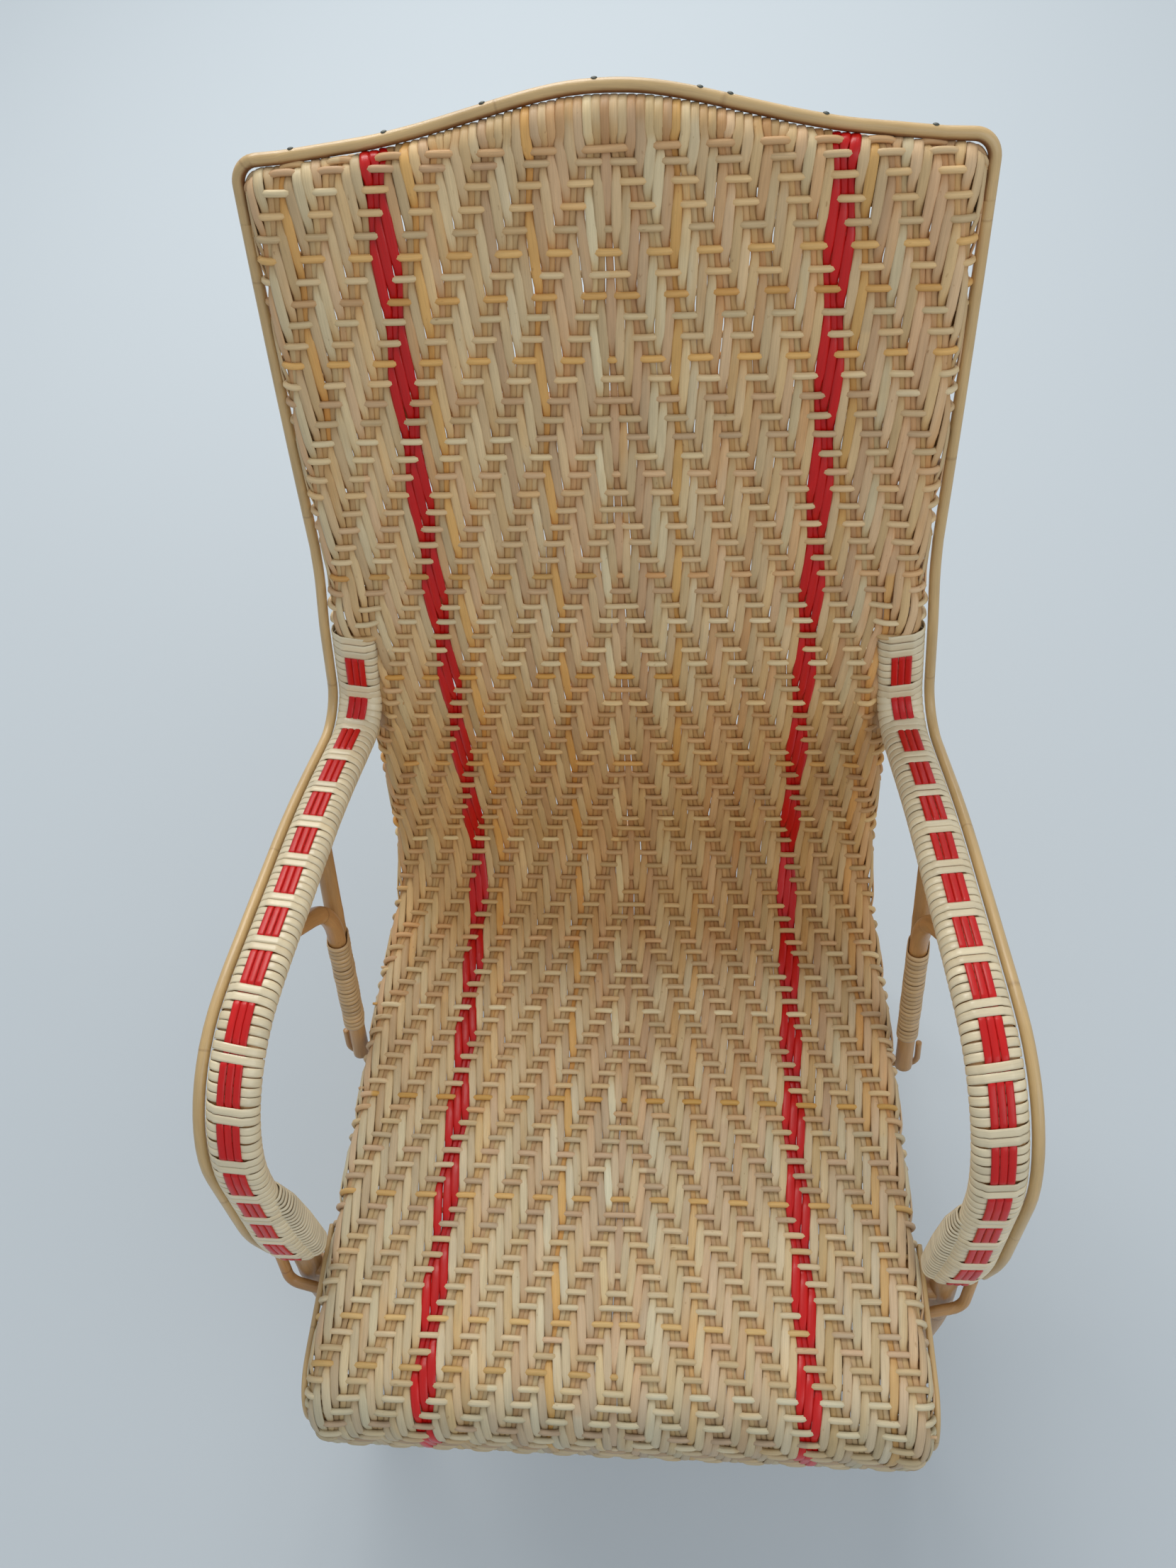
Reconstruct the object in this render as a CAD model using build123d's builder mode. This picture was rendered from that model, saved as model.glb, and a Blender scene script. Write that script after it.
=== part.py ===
from build123d import *
import math
import os

os.makedirs("parts", exist_ok=True)

# A high-backed armchair of woven rattan. Millimetres and degrees. The chair faces -Y, +Z is up,
# and the origin is on the floor under the middle of the chair's box. Pieces that come in pairs
# are made on the right (+X) and mirrored to the left.

# The sitting surface, seen from the side: seat and back would meet at the junction
junction_y = 134.3
junction_z = 350.0
seat_slope = 5.0
back_recline = 12.0
back_straight_up = 53.0
back_curve_radius = 3375.0
front_reach = 472.0
crease_radius = 60.0
roll_radius = 48.0
tail_z = 300.0
run_share = 0.45

# The two side rails that the mat is woven round, by their distance from the middle
pole_radius = 10.0
rail_depth = 14.0
crest_up = 590.7
upper_back_x = 210.5
arm_root_x = 208.0
waist_x = 198.0
crease_x = 203.0
seat_x = 208.0
crease_back_x = 200.5
crease_seat_x = 205.0
crease_sheet_reach = 24.0
front_x = 212.0
upper_bend_up = 440.0
root_bend_up = 295.0
waist_up = 150.0
seat_bend_out = 130.0

# The crest rises from its shoulders to a rounded peak
shoulder_x = 125.0
shoulder_rise = 9.5
peak_x = 36.0
peak_rise = 33.5
crest_bend_radius = 210.0

# The mat and its smooth trim rods
mat_thickness = 8.0
mat_edge_radius = 13.6
sheet_gap = 0.6
sheet_profile_step = 60.0
trim_radius = 4.0
trim_gap = 0.6
trim_butt_gap = 0.8
trim_corner_radius = 14.0
trim_corner_drop = 36.0
back_trim_swing_up = 345.0
seat_trim_radius = 2.4
seat_trim_start_out = 205.0
nail_head_radius = 1.9
nail_head_height = 1.1
nail_shank_radius = 0.7
nail_shank_length = 7.0
nail_positions = (-196.0, -136.0, -73.0, -6.0, 55.0, 73.0, 131.0, 196.0)

# Cross rails that run from side rail to side rail
cross_radius = 9.0
cross_gap = 0.5
cross_leg_gap = 1.2
back_rail_ups = {"back_upper_rail": 450.0, "back_middle_rail": 300.0, "back_lower_rail": 100.0}
seat_rail_outs = {"seat_rear_rail": 60.0, "seat_middle_rail": 225.0, "seat_front_rail": 405.0}

# The arms: two poles side by side, wrapped with cane, with three strands along the top
arm_root_up = 275.0
arm_root_depth = 7.1
arm_root_reach = 210.0
arm_elbow = (219.0, 50.9, 526.0)
arm_rise = (227.0, -65.0, 567.0)
arm_crown = (237.0, -206.7, 595.2)
arm_knuckle = (247.0, -313.0, 604.0)
arm_wrist = (250.0, -345.7, 420.3)
arm_end = (246.0, -346.0, 377.0)
arm_elbow_radius = 32.0
arm_knuckle_radius = 96.0
arm_pole_radius = 8.0
arm_pole_offset = 8.6
arm_core_width = 33.4
arm_core_height = 16.2
arm_wrap_width = 37.4
arm_wrap_height = 18.8
arm_trim_offset = 23.3
inlay_strand_width = 4.6
inlay_strand_height = 1.2
inlay_pitch = 5.2
inlay_level = 10.05

# The strut under each arm: a straight post and a curved brace, bound together
strut_radius = 7.0
post_points = ((227.0, -76.0, 568.0), (229.5, -117.0, 472.0), (233.5, -172.0, 328.0))
brace_top = (238.0, -188.0, 592.0)
brace_beside = (-3.0, -12.6, 4.9)
brace_bend_up = 34.0
brace_bend_radius = 58.0
brace_end_share = 0.66
binding_start_share = 0.03
binding_end_share = 0.7
binding_wall = 1.8
tie_radius = 2.6
tie_points = ((244.0, -160.0, 352.0), (246.5, -168.0, 318.0), (206.0, -166.0, 321.0))
tie_bend_radius = 12.0

# Legs, stretchers, cross rails and the front joints
leg_radius = 10.0
front_leg_points = (
    (241.0, -336.2, 452.0),
    (242.0, -340.8, 400.0),
    (248.0, -358.0, 300.0),
    (253.0, -376.0, -20.0),
)
rear_leg_points = ((200.0, 82.0, 540.0), (203.0, 52.0, 405.0), (215.0, 94.0, -20.0))
stretcher_radius = 7.5
side_stretcher_z = 128.0
end_stretcher_z = 165.0
front_cross_z = 343.0
rear_cross_z = 318.0
hook_radius = 4.3
hook_points = ((262.0, -349.0, 371.0), (258.0, -364.0, 348.0), (232.0, -369.0, 343.0))
hook_bend_radius = 12.0
joint_sections = (
    (382.0, 244.0, -342.0, 40.0, 22.0),
    (430.0, 243.5, -337.0, 38.0, 22.0),
    (470.0, 243.5, -333.0, 35.0, 19.0),
    (500.0, 247.5, -330.5, 34.0, 15.0),
)
joint_corner_radius = 7.0


def back_point(x, up, depth):
    """A point on the back, up along its curve and depth behind the mat's face."""
    start, straight = math.radians(back_recline), min(up, back_straight_up)
    lean = start + (up - straight) / back_curve_radius
    back, rise = math.cos(start) - math.cos(lean), math.sin(lean) - math.sin(start)
    y = junction_y + straight * math.sin(start) + back_curve_radius * back + depth * math.cos(lean)
    z = junction_z + straight * math.cos(start) + back_curve_radius * rise - depth * math.sin(lean)
    return (x, y, z)


def seat_point(x, out, depth):
    """A point on the seat, out from the junction and depth below the mat's face."""
    slope = math.radians(seat_slope)
    y = junction_y - out * math.cos(slope) - depth * math.sin(slope)
    z = junction_z + out * math.sin(slope) - depth * math.cos(slope)
    return (x, y, z)


def crease_point(x, depth):
    """Where the lines of seat and back meet, both at the same depth."""
    recline = math.radians(back_recline)
    back = depth * math.tan(math.radians(90 - back_recline + seat_slope) / 2)
    y = junction_y + depth * math.cos(recline) - back * math.sin(recline)
    z = junction_z - depth * math.sin(recline) - back * math.cos(recline)
    return (x, y, z)


def roll_point(x, depth):
    """Where the seat's line meets the upright line of the front roll."""
    slope = math.radians(seat_slope)
    out = (front_reach - depth * (1 + math.sin(slope))) / math.cos(slope)
    return seat_point(x, out, depth)


def tail_point(x, depth, z):
    """A point on the upright stretch below the front roll."""
    return (x, junction_y - front_reach + depth, z)


def placed(points):
    """Points given from the junction's plane, moved into the chair's frame."""
    return [(x, junction_y + y, z) for x, y, z in points]


def bend_radii(points, tight):
    """A radius for each inner point: the one in tight, or as large as its two runs allow."""
    spots = [Vector(*point) for point in points]
    turns = []
    for before, here, after in zip(spots, spots[1:], spots[2:]):
        turns.append(math.radians((here - before).get_angle(after - here)))
    taken = [tight.get(i + 1, 0) * math.tan(turn / 2) for i, turn in enumerate(turns)] + [0]
    radii = []
    for i, turn in enumerate(turns):
        run_in = (spots[i + 1] - spots[i]).length - taken[i - 1]
        run_out = (spots[i + 2] - spots[i + 1]).length - taken[i + 1]
        widest = run_share * min(run_in, run_out) / math.tan(turn / 2)
        radii.append(tight.get(i + 1, widest))
    return radii


def bent_line(points, tight):
    """Straight runs joined by tangent arcs."""
    with BuildLine() as run:
        if len(points) > 2:
            FilletPolyline(*points, radius=bend_radii(points, tight))
        else:
            Line(*points)
    return run.wire()


def pole(line, radius, without=()):
    """A round pole along a line, with the pieces in without cut out of it."""
    with BuildPart() as rod:
        with BuildSketch(Plane(origin=line @ 0, z_dir=line % 0)):
            Circle(radius)
        sweep(path=line)
        for piece in without:
            add(piece, mode=Mode.SUBTRACT)
    return rod


def save(piece, name):
    """Label a finished piece and write it."""
    piece.part.label = name
    export_step(piece.part, f"parts/{name}.step")


def save_pair(piece, name):
    """Write a right-hand piece and its mirror image, and give back both shapes."""
    with BuildPart() as twin:
        mirror(piece.part, about=Plane.YZ)
    save(piece, f"{name}_right")
    save(twin, f"{name}_left")
    return [piece.part, twin.part]


def rail_line(outward, depth):
    """The line of a side rail, from the crest down the back, along the seat and round its front."""
    points = [
        back_point(upper_back_x + outward, crest_up, depth),
        back_point(upper_back_x + outward, upper_bend_up, depth),
        back_point(arm_root_x + outward, root_bend_up, depth),
        back_point(waist_x + outward, waist_up, depth),
        crease_point(crease_x + outward, depth),
        seat_point(seat_x + outward, seat_bend_out, depth),
        roll_point(front_x + outward, depth),
        tail_point(front_x + outward, depth, tail_z),
    ]
    return bent_line(points, {4: crease_radius + depth, 6: roll_radius - depth})


def crest_points(end_x, outward):
    """The serpentine of the crest, moved outward from the crest rail's axis."""
    shift = outward * math.tan(math.atan2(peak_rise - shoulder_rise, shoulder_x - peak_x) / 2)
    level = crest_up + outward
    outline = [(end_x, 0), (shoulder_x + shift, shoulder_rise), (peak_x + shift, peak_rise)]
    left = [back_point(-x, level + rise, rail_depth) for x, rise in outline]
    right = [back_point(x, level + rise, rail_depth) for x, rise in reversed(outline)]
    return left + right


# Side rails: one pole each, bent from the crest to the front roll
side_rail = pole(rail_line(0, rail_depth), pole_radius)
side_rails = save_pair(side_rail, "side_rail")

# Crest rail over the tops of the side rails, with rounded ends
crest_bends = {i: crest_bend_radius for i in range(1, 5)}
crest_line = bent_line(crest_points(upper_back_x, 0), crest_bends)
with BuildPart() as crest_rail:
    with BuildSketch(Plane(origin=crest_line @ 0, z_dir=crest_line % 0)):
        Circle(pole_radius)
    sweep(path=crest_line)
    with Locations(crest_line @ 0, crest_line @ 1):
        Sphere(pole_radius)
    for rail in side_rails:
        add(rail, mode=Mode.SUBTRACT)
save(crest_rail, "crest_rail")

# Straight cross rails behind the back and under the seat, cut to the round of the side rails
cross_depth = mat_thickness + cross_gap + cross_radius
cross_ends = {
    name: [back_point(-waist_x, up, cross_depth), back_point(waist_x, up, cross_depth)]
    for name, up in back_rail_ups.items()
}
for rail_name, out in seat_rail_outs.items():
    cross_ends[rail_name] = [seat_point(-crease_x, out, cross_depth), seat_point(crease_x, out, cross_depth)]
cross_rails = []
for rail_name, ends in cross_ends.items():
    cross_rail = pole(bent_line(ends, {}), cross_radius, side_rails)
    save(cross_rail, rail_name)
    cross_rails.append(cross_rail.part)

# Lower front rail, where the mat ends below the front roll
lower_z = tail_z + pole_radius
lower_ends = [tail_point(-front_x, rail_depth, lower_z), tail_point(front_x, rail_depth, lower_z)]
lower_line = bent_line(lower_ends, {})
lower_front_rail = pole(lower_line, pole_radius, side_rails)
save(lower_front_rail, "lower_front_rail")

# The line of the arms, from the side of the back forward and down to the front joint
arm_points = [back_point(arm_root_reach, arm_root_up, arm_root_depth)]
arm_points += placed([arm_elbow, arm_rise, arm_crown, arm_knuckle, arm_wrist, arm_end])
arm_line = bent_line(arm_points, {1: arm_elbow_radius, 4: arm_knuckle_radius})
arm_plane = Plane(origin=arm_line @ 0, x_dir=(1, 0, 0), z_dir=arm_line % 0)
arm_up = 1 if arm_plane.y_dir.Y < 0 else -1

# Front legs: a pole from the floor up into the end of the arm
front_leg_line = bent_line(placed(front_leg_points), {})
with BuildPart() as front_leg:
    with BuildSketch(Plane(origin=front_leg_line @ 0, z_dir=front_leg_line % 0)):
        Circle(leg_radius)
    sweep(path=front_leg_line)
    split(bisect_by=Plane.XY, keep=Keep.TOP)
front_legs = save_pair(front_leg, "front_leg")

# Rear legs: a pole from the floor up behind the side rail
rear_leg_line = bent_line(placed(rear_leg_points), {})
with BuildPart() as rear_leg:
    with BuildSketch(Plane(origin=rear_leg_line @ 0, z_dir=rear_leg_line % 0)):
        Circle(leg_radius)
    sweep(path=rear_leg_line)
    split(bisect_by=Plane.XY, keep=Keep.TOP)
    with BuildSketch(Plane(origin=rail_line(0, rail_depth) @ 0, z_dir=rail_line(0, rail_depth) % 0)):
        Circle(mat_edge_radius)
    sweep(path=rail_line(0, rail_depth), mode=Mode.SUBTRACT)
rear_legs = save_pair(rear_leg, "rear_leg")

# Arm inlay: three strands side by side along the top of each arm
with BuildPart() as arm_inlay:
    with BuildSketch(arm_plane):
        with Locations(*[(row * inlay_pitch, arm_up * inlay_level) for row in (-1, 0, 1)]):
            Rectangle(inlay_strand_width, inlay_strand_height)
    sweep(path=arm_line)
arm_inlays = save_pair(arm_inlay, "arm_inlay")

# The room an arm takes, for cutting its neighbours
with BuildPart() as arm_room:
    with BuildSketch(arm_plane):
        SlotOverall(arm_wrap_width, arm_wrap_height)
    sweep(path=arm_line)
    add(arm_inlay.part)

# Arm wrap: a sleeve of cane round both arm poles
with BuildPart() as arm_wrap:
    with BuildSketch(arm_plane):
        SlotOverall(arm_wrap_width, arm_wrap_height)
        SlotOverall(arm_core_width, arm_core_height, mode=Mode.SUBTRACT)
    sweep(path=arm_line)
    for piece in (side_rail.part, front_leg.part):
        add(piece, mode=Mode.SUBTRACT)
save_pair(arm_wrap, "arm_wrap")

# Arm poles, side by side inside the wrap
for pole_name, pole_offset in {"arm_pole_inner": -arm_pole_offset, "arm_pole_outer": arm_pole_offset}.items():
    with BuildPart() as arm_pole:
        with BuildSketch(arm_plane):
            with Locations((pole_offset, 0)):
                Circle(arm_pole_radius)
        sweep(path=arm_line)
        add(side_rail.part, mode=Mode.SUBTRACT)
        add(front_leg.part, mode=Mode.SUBTRACT)
    save_pair(arm_pole, pole_name)

# Arm trim: a smooth rod along the outer side of the wrap
with BuildPart() as arm_trim:
    with BuildSketch(arm_plane):
        with Locations((arm_trim_offset, 0)):
            Circle(trim_radius)
    sweep(path=arm_line)
arm_trims = save_pair(arm_trim, "arm_trim")

# Strut under each arm: a straight post, a curved brace beside it and the cane that binds them
post_line = bent_line(placed(post_points), {})
arm_post = pole(post_line, strut_radius, [arm_room.part])
save_pair(arm_post, "arm_post")
post_knee, post_foot = [Vector(*point) for point in placed(post_points[1:])]
beside = Vector(*brace_beside)
down = (post_foot - post_knee).normalized()
brace_start = Vector(*placed([brace_top])[0])
brace_vertex = post_knee + beside - down * brace_bend_up
brace_foot = post_knee + beside + (post_foot - post_knee) * brace_end_share
brace_line = bent_line([brace_start, brace_vertex, brace_foot], {1: brace_bend_radius})
arm_brace = pole(brace_line, strut_radius, [arm_room.part, arm_post.part])
save_pair(arm_brace, "arm_brace")
binding_start = post_knee + (post_foot - post_knee) * binding_start_share
with BuildPart() as post_binding:
    with BuildSketch(Plane(origin=binding_start, x_dir=beside, z_dir=down)):
        with Locations((beside.length / 2, 0)):
            SlotOverall(beside.length + 2 * (strut_radius + binding_wall), 2 * (strut_radius + binding_wall))
    extrude(amount=(post_foot - post_knee).length * (binding_end_share - binding_start_share))
    add(arm_post.part, mode=Mode.SUBTRACT)
    add(arm_brace.part, mode=Mode.SUBTRACT)
save_pair(post_binding, "post_binding")

# Tie: a thin rod that hooks under the side rail and up round the foot of the post
tie_line = bent_line(placed(tie_points), {1: tie_bend_radius})
save_pair(pole(tie_line, tie_radius, [arm_post.part]), "post_tie")

# Front joint: cane bound round the top of the front leg, against the end of the arm
with BuildPart() as joint_binding:
    for level, x, y, width, depth in joint_sections:
        with BuildSketch(Plane(origin=(x, junction_y + y, level))):
            RectangleRounded(width, depth, joint_corner_radius)
    loft()
    for piece in (arm_room.part, arm_trim.part, front_leg.part):
        add(piece, mode=Mode.SUBTRACT)
save_pair(joint_binding, "joint_binding")

# Hook: a bent rod under the joint, in front of the leg and in to the side of the seat
hook_line = bent_line(placed(hook_points), {1: hook_bend_radius})
save_pair(pole(hook_line, hook_radius, [arm_trim.part, arm_room.part, front_leg.part]), "joint_hook")

# Cross rails under the seat, butted against the legs
for cross_name, leg_points, level in (
    ("front_cross_rail", front_leg_points, front_cross_z),
    ("rear_cross_rail", rear_leg_points, rear_cross_z),
):
    upper, lower = (placed(leg_points)[i] for i in (1, 2))
    share = (upper[2] - level) / (upper[2] - lower[2])
    reach = upper[0] + share * (lower[0] - upper[0]) - leg_radius - cross_leg_gap
    level_y = upper[1] + share * (lower[1] - upper[1])
    cross_line = bent_line([(-reach, level_y, level), (reach, level_y, level)], {})
    save(pole(cross_line, cross_radius), cross_name)


def leg_spot(points, level):
    """Where the lowest run of a leg passes a level."""
    upper, lower = [Vector(*point) for point in placed(points[-2:])]
    return upper + (lower - upper) * ((upper.Z - level) / (upper.Z - lower.Z))


# Stretchers between the legs
front_spot = leg_spot(front_leg_points, end_stretcher_z)
rear_spot = leg_spot(rear_leg_points, end_stretcher_z)
for stretcher_name, spot, legs in (
    ("front_stretcher", front_spot, front_legs),
    ("rear_stretcher", rear_spot, rear_legs),
):
    end_line = bent_line([(-spot.X, spot.Y, spot.Z), (spot.X, spot.Y, spot.Z)], {})
    save(pole(end_line, stretcher_radius, legs), stretcher_name)
side_line = bent_line(
    [leg_spot(front_leg_points, side_stretcher_z), leg_spot(rear_leg_points, side_stretcher_z)], {}
)
side_stretcher = pole(side_line, stretcher_radius, [front_leg.part, rear_leg.part])
save_pair(side_stretcher, "side_stretcher")

# Trim along the crest and round its corners, and its nails
trim_out = mat_edge_radius + trim_gap + trim_radius
trim_end_x = upper_back_x + trim_out
trim_end_up = crest_up + trim_out - trim_corner_drop
trim_points = [back_point(-trim_end_x, trim_end_up, rail_depth)]
trim_points += crest_points(trim_end_x, trim_out)
trim_points += [back_point(trim_end_x, trim_end_up, rail_depth)]
trim_bends = {i: crest_bend_radius for i in range(2, 6)}
trim_bends |= {1: trim_corner_radius, 6: trim_corner_radius}
trim_line = bent_line(trim_points, trim_bends)
crest_lean = math.radians(back_recline) + (crest_up - back_straight_up) / back_curve_radius
back_normal = Vector(0, math.cos(crest_lean), -math.sin(crest_lean))
with BuildPart() as trim_nails:
    for nail_x in nail_positions:
        share = 0.5 + nail_x / trim_line.length
        outward = (trim_line % share).cross(back_normal)
        outward = outward * math.copysign(1, outward.Z)
        head_spot = (trim_line @ share) + outward * (trim_radius - nail_head_height / 2)
        head_plane = Plane(origin=head_spot, z_dir=outward)
        with BuildSketch(head_plane):
            Circle(nail_head_radius)
        extrude(amount=nail_head_height)
        with BuildSketch(head_plane):
            Circle(nail_shank_radius)
        extrude(amount=-nail_shank_length)
save(trim_nails, "trim_nails")
crest_trim = pole(trim_line, trim_radius, [trim_nails.part])
save(crest_trim, "crest_trim")

# Trim down each side of the back, from the crest trim to the trim of the arm
back_trim_points = [
    back_point(trim_end_x, trim_end_up - trim_butt_gap, rail_depth),
    back_point(trim_end_x, back_trim_swing_up, rail_depth),
    tuple(arm_line @ 0 + arm_plane.x_dir * arm_trim_offset - (arm_line % 0) * trim_butt_gap),
]
save_pair(pole(bent_line(back_trim_points, {}), trim_radius), "back_trim")

# The edge of the mat, wrapped round the side rails, the crest rail and the lower front rail
edge_line = rail_line(0, rail_depth)
with BuildPart() as mat_edge:
    with BuildSketch(Plane(origin=edge_line @ 0, z_dir=edge_line % 0)):
        Circle(mat_edge_radius)
    sweep(path=edge_line)
    mirror(about=Plane.YZ)
    with BuildSketch(Plane(origin=crest_line @ 0, z_dir=crest_line % 0)):
        Circle(mat_edge_radius)
    sweep(path=crest_line)
    with Locations(crest_line @ 0, crest_line @ 1):
        Sphere(mat_edge_radius)
    with BuildSketch(Plane(origin=lower_line @ 0, z_dir=lower_line % 0)):
        Circle(mat_edge_radius)
    sweep(path=lower_line)
    for piece in side_rails + cross_rails + [crest_rail.part, lower_front_rail.part, arm_room.part]:
        add(piece, mode=Mode.SUBTRACT)
    mirror(arm_room.part, about=Plane.YZ, mode=Mode.SUBTRACT)
save(mat_edge, "mat_edge")

# The woven mat: a sheet with the chair's side profile, trimmed to fit inside its edge
mid_depth = mat_thickness / 2
inset = mat_edge_radius + sheet_gap
profile_ups = [crest_up + sheet_profile_step * (1 - i) for i in range(10)]
profile = [back_point(0, up, mid_depth) for up in profile_ups]
profile += [crease_point(0, mid_depth), roll_point(0, mid_depth), tail_point(0, mid_depth, lower_z + inset)]
roll_index = len(profile) - 2
profile_radii = bend_radii(
    profile, {roll_index - 1: crease_radius + mid_depth, roll_index: roll_radius - mid_depth}
)
crease_z = junction_z + crease_radius
crease_y = junction_y - crease_radius
crease_back_y = junction_y + crease_sheet_reach
with BuildPart() as woven_mat:
    with BuildSketch(Plane.YZ):
        with BuildLine():
            FilletPolyline(*[(y, z) for x, y, z in profile], radius=profile_radii)
        trace(line_width=mat_thickness)
    extrude(amount=front_x, both=True)
    with BuildSketch(Plane.XZ):
        with BuildLine():
            outline = [(x, z) for x, y, z in crest_points(upper_back_x - inset, -inset)]
            FilletPolyline(*outline, radius=crest_bend_radius)
            edge = [outline[-1], (upper_back_x - inset, back_point(0, upper_bend_up, 0)[2])]
            edge += [(waist_x - inset, back_point(0, waist_up, 0)[2]), (crease_back_x - inset, crease_z)]
            edge += [(front_x, crease_z), (front_x, 0)]
            Polyline(*edge, *[(-x, z) for x, z in reversed(edge)])
        make_face()
    extrude(amount=front_reach + crest_up, both=True, mode=Mode.INTERSECT)
    with BuildSketch(Plane.XY):
        with BuildLine():
            edge = [(front_x, front_reach), (front_x, crease_back_y), (crease_back_x - inset, crease_back_y)]
            edge += [(crease_back_x - inset, junction_y), (crease_seat_x - inset, crease_y)]
            edge += [(seat_x - inset, junction_y - seat_bend_out)]
            edge += [(front_x - inset, junction_y - front_reach), (front_x - inset, -front_reach)]
            Polyline(*edge, *[(-x, y) for x, y in reversed(edge)], close=True)
        make_face()
    extrude(amount=2 * front_reach + crest_up, mode=Mode.INTERSECT)
save(woven_mat, "woven_mat")

# Seat trim: a thin rod along each side of the seat, in front of the posts
seat_trim_line = rail_line(mat_edge_radius + seat_trim_radius + 0.4, rail_depth)
with BuildPart() as seat_trim:
    with BuildSketch(Plane(origin=seat_trim_line @ 0, z_dir=seat_trim_line % 0)):
        Circle(seat_trim_radius)
    sweep(path=seat_trim_line)
    split(bisect_by=Plane.XZ.offset(-(junction_y - seat_trim_start_out)), keep=Keep.TOP)
save_pair(seat_trim, "seat_trim")
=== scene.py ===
import math

import bpy
import numpy as np
from mathutils import Matrix


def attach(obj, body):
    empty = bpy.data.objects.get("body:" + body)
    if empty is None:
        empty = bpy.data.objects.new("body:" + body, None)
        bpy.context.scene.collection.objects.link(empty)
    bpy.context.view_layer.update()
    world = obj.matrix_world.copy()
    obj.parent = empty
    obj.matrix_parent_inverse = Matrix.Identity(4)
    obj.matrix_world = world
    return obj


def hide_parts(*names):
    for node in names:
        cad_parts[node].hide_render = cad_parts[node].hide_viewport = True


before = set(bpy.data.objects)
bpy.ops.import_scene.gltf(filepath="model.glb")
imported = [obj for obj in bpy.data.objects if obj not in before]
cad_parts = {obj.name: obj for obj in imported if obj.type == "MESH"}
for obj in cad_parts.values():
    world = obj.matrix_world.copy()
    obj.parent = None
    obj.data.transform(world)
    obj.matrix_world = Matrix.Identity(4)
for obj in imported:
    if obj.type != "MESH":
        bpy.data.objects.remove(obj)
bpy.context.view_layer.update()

# A woven rattan armchair with cane-wrapped arms, strand by strand. Lengths are in millimetres until a
# mesh is made. The chair faces -Y.
MM = 0.001
# The junction is where the straight lines of the back and the seat would meet.
JUNCTION_Y, JUNCTION_Z = 134.3, 350.0
RECLINE, SLOPE = math.radians(12), math.radians(5)
BACK_START, BACK_RADIUS = 53.0, 3375.0
CREASE_RADIUS, ROLL_RADIUS = 60.0, 48.0
FRONT_REACH = 472.0
ROLL_OUT = 421.4
RAIL_DEPTH, RAIL_RADIUS, WRAP_RADIUS = 14.0, 10.0, 12.1
CREST_UP, CREST_HALF = 590.7, 210.5
TAIL_RAIL_Z = 310.0
MAT_DEPTH = 4.0
HALF_WRAP = math.pi * WRAP_RADIUS
# how far from a rail the mat has settled to its own depth, and how high its tucked ends come up
SETTLE_LENGTH, TUCK_RISE = 28.0, 5.0
GRID_STEP = 0.5
NODE_SPACING = 165


def unit(v):
    return v / np.maximum(np.linalg.norm(v, axis=-1, keepdims=True), 1e-9)


def smooth(t):
    t = np.clip(t, 0.0, 1.0)
    return t * t * (3 - 2 * t)


# ---------------------------------------------------------------- the mat's side profile
# s runs along the sitting surface, from the middle of the crease: negative up the back, positive
# along the seat and over its front. The heading is 0 straight down and 90 degrees straight forward.
CREASE_TURN = math.pi / 2 - RECLINE + SLOPE
CREASE_HALF = CREASE_RADIUS * CREASE_TURN / 2
CREASE_LEG = CREASE_RADIUS * math.tan(CREASE_TURN / 2)
UP_SHIFT = CREASE_LEG - CREASE_HALF
ROLL_START = ROLL_OUT - UP_SHIFT
ROLL_TURN = math.pi / 2 + SLOPE
GRID = np.arange(-720.0, 640.0, GRID_STEP)


def heading_at(s):
    """The profile's heading at s, in radians."""
    back = RECLINE + np.maximum(-s - CREASE_HALF, 0) / BACK_RADIUS
    crease = RECLINE + (s + CREASE_HALF) / CREASE_RADIUS
    roll = ROLL_TURN - (s - ROLL_START) / ROLL_RADIUS
    a = np.where(s < -CREASE_HALF, back, np.minimum(crease, ROLL_TURN))
    return np.where(s > ROLL_START, np.maximum(roll, 0), a)


HEADING = heading_at(GRID)
START = int(np.argmin(abs(GRID + CREASE_HALF)))


def run(step):
    """The sum of step along s, counted from the top end of the crease."""
    mid = (step[1:] + step[:-1]) / 2 * np.diff(GRID)
    total = np.concatenate([[0], np.cumsum(mid)])
    return total - total[START]


PROFILE_Y = JUNCTION_Y + CREASE_LEG * math.sin(RECLINE) + run(-np.sin(HEADING))
PROFILE_Z = JUNCTION_Z + CREASE_LEG * math.cos(RECLINE) + run(-np.cos(HEADING))


def profile(s):
    """Side position, direction of travel and outward normal, each as (y, z) pairs."""
    a = np.interp(s, GRID, HEADING)
    place = np.stack([np.interp(s, GRID, PROFILE_Y), np.interp(s, GRID, PROFILE_Z)], -1)
    travel = np.stack([-np.sin(a), -np.cos(a)], -1)
    out = np.stack([-np.cos(a), np.sin(a)], -1)
    return place, travel, out


def softened(values, half):
    """The values averaged over half steps to each side, most from the nearest."""
    kernel = np.hanning(2 * half + 1)
    return np.convolve(np.pad(values, half, mode="edge"), kernel / kernel.sum(), mode="valid")


def eased(knots_s, knots_v, width=40.0):
    """Values between knots, with their corners rounded off."""
    return softened(np.interp(GRID, knots_s, knots_v), int(width / GRID_STEP))


RAIL_X = eased([-431, -286, -141, 0, 121, 430], [210.5, 208, 198, 203, 208, 212])
STRIPE_X = eased([-584, -302, -19, 222, 464], [140.6, 140.5, 140.3, 136.0, 137.6])
TAIL_RAIL_S = float(np.interp(-TAIL_RAIL_Z, -PROFILE_Z[GRID > 400], GRID[GRID > 400]))


def rail_x(s):
    """How far the side rail's axis is from the middle line."""
    return np.interp(s, GRID, RAIL_X)


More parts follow.
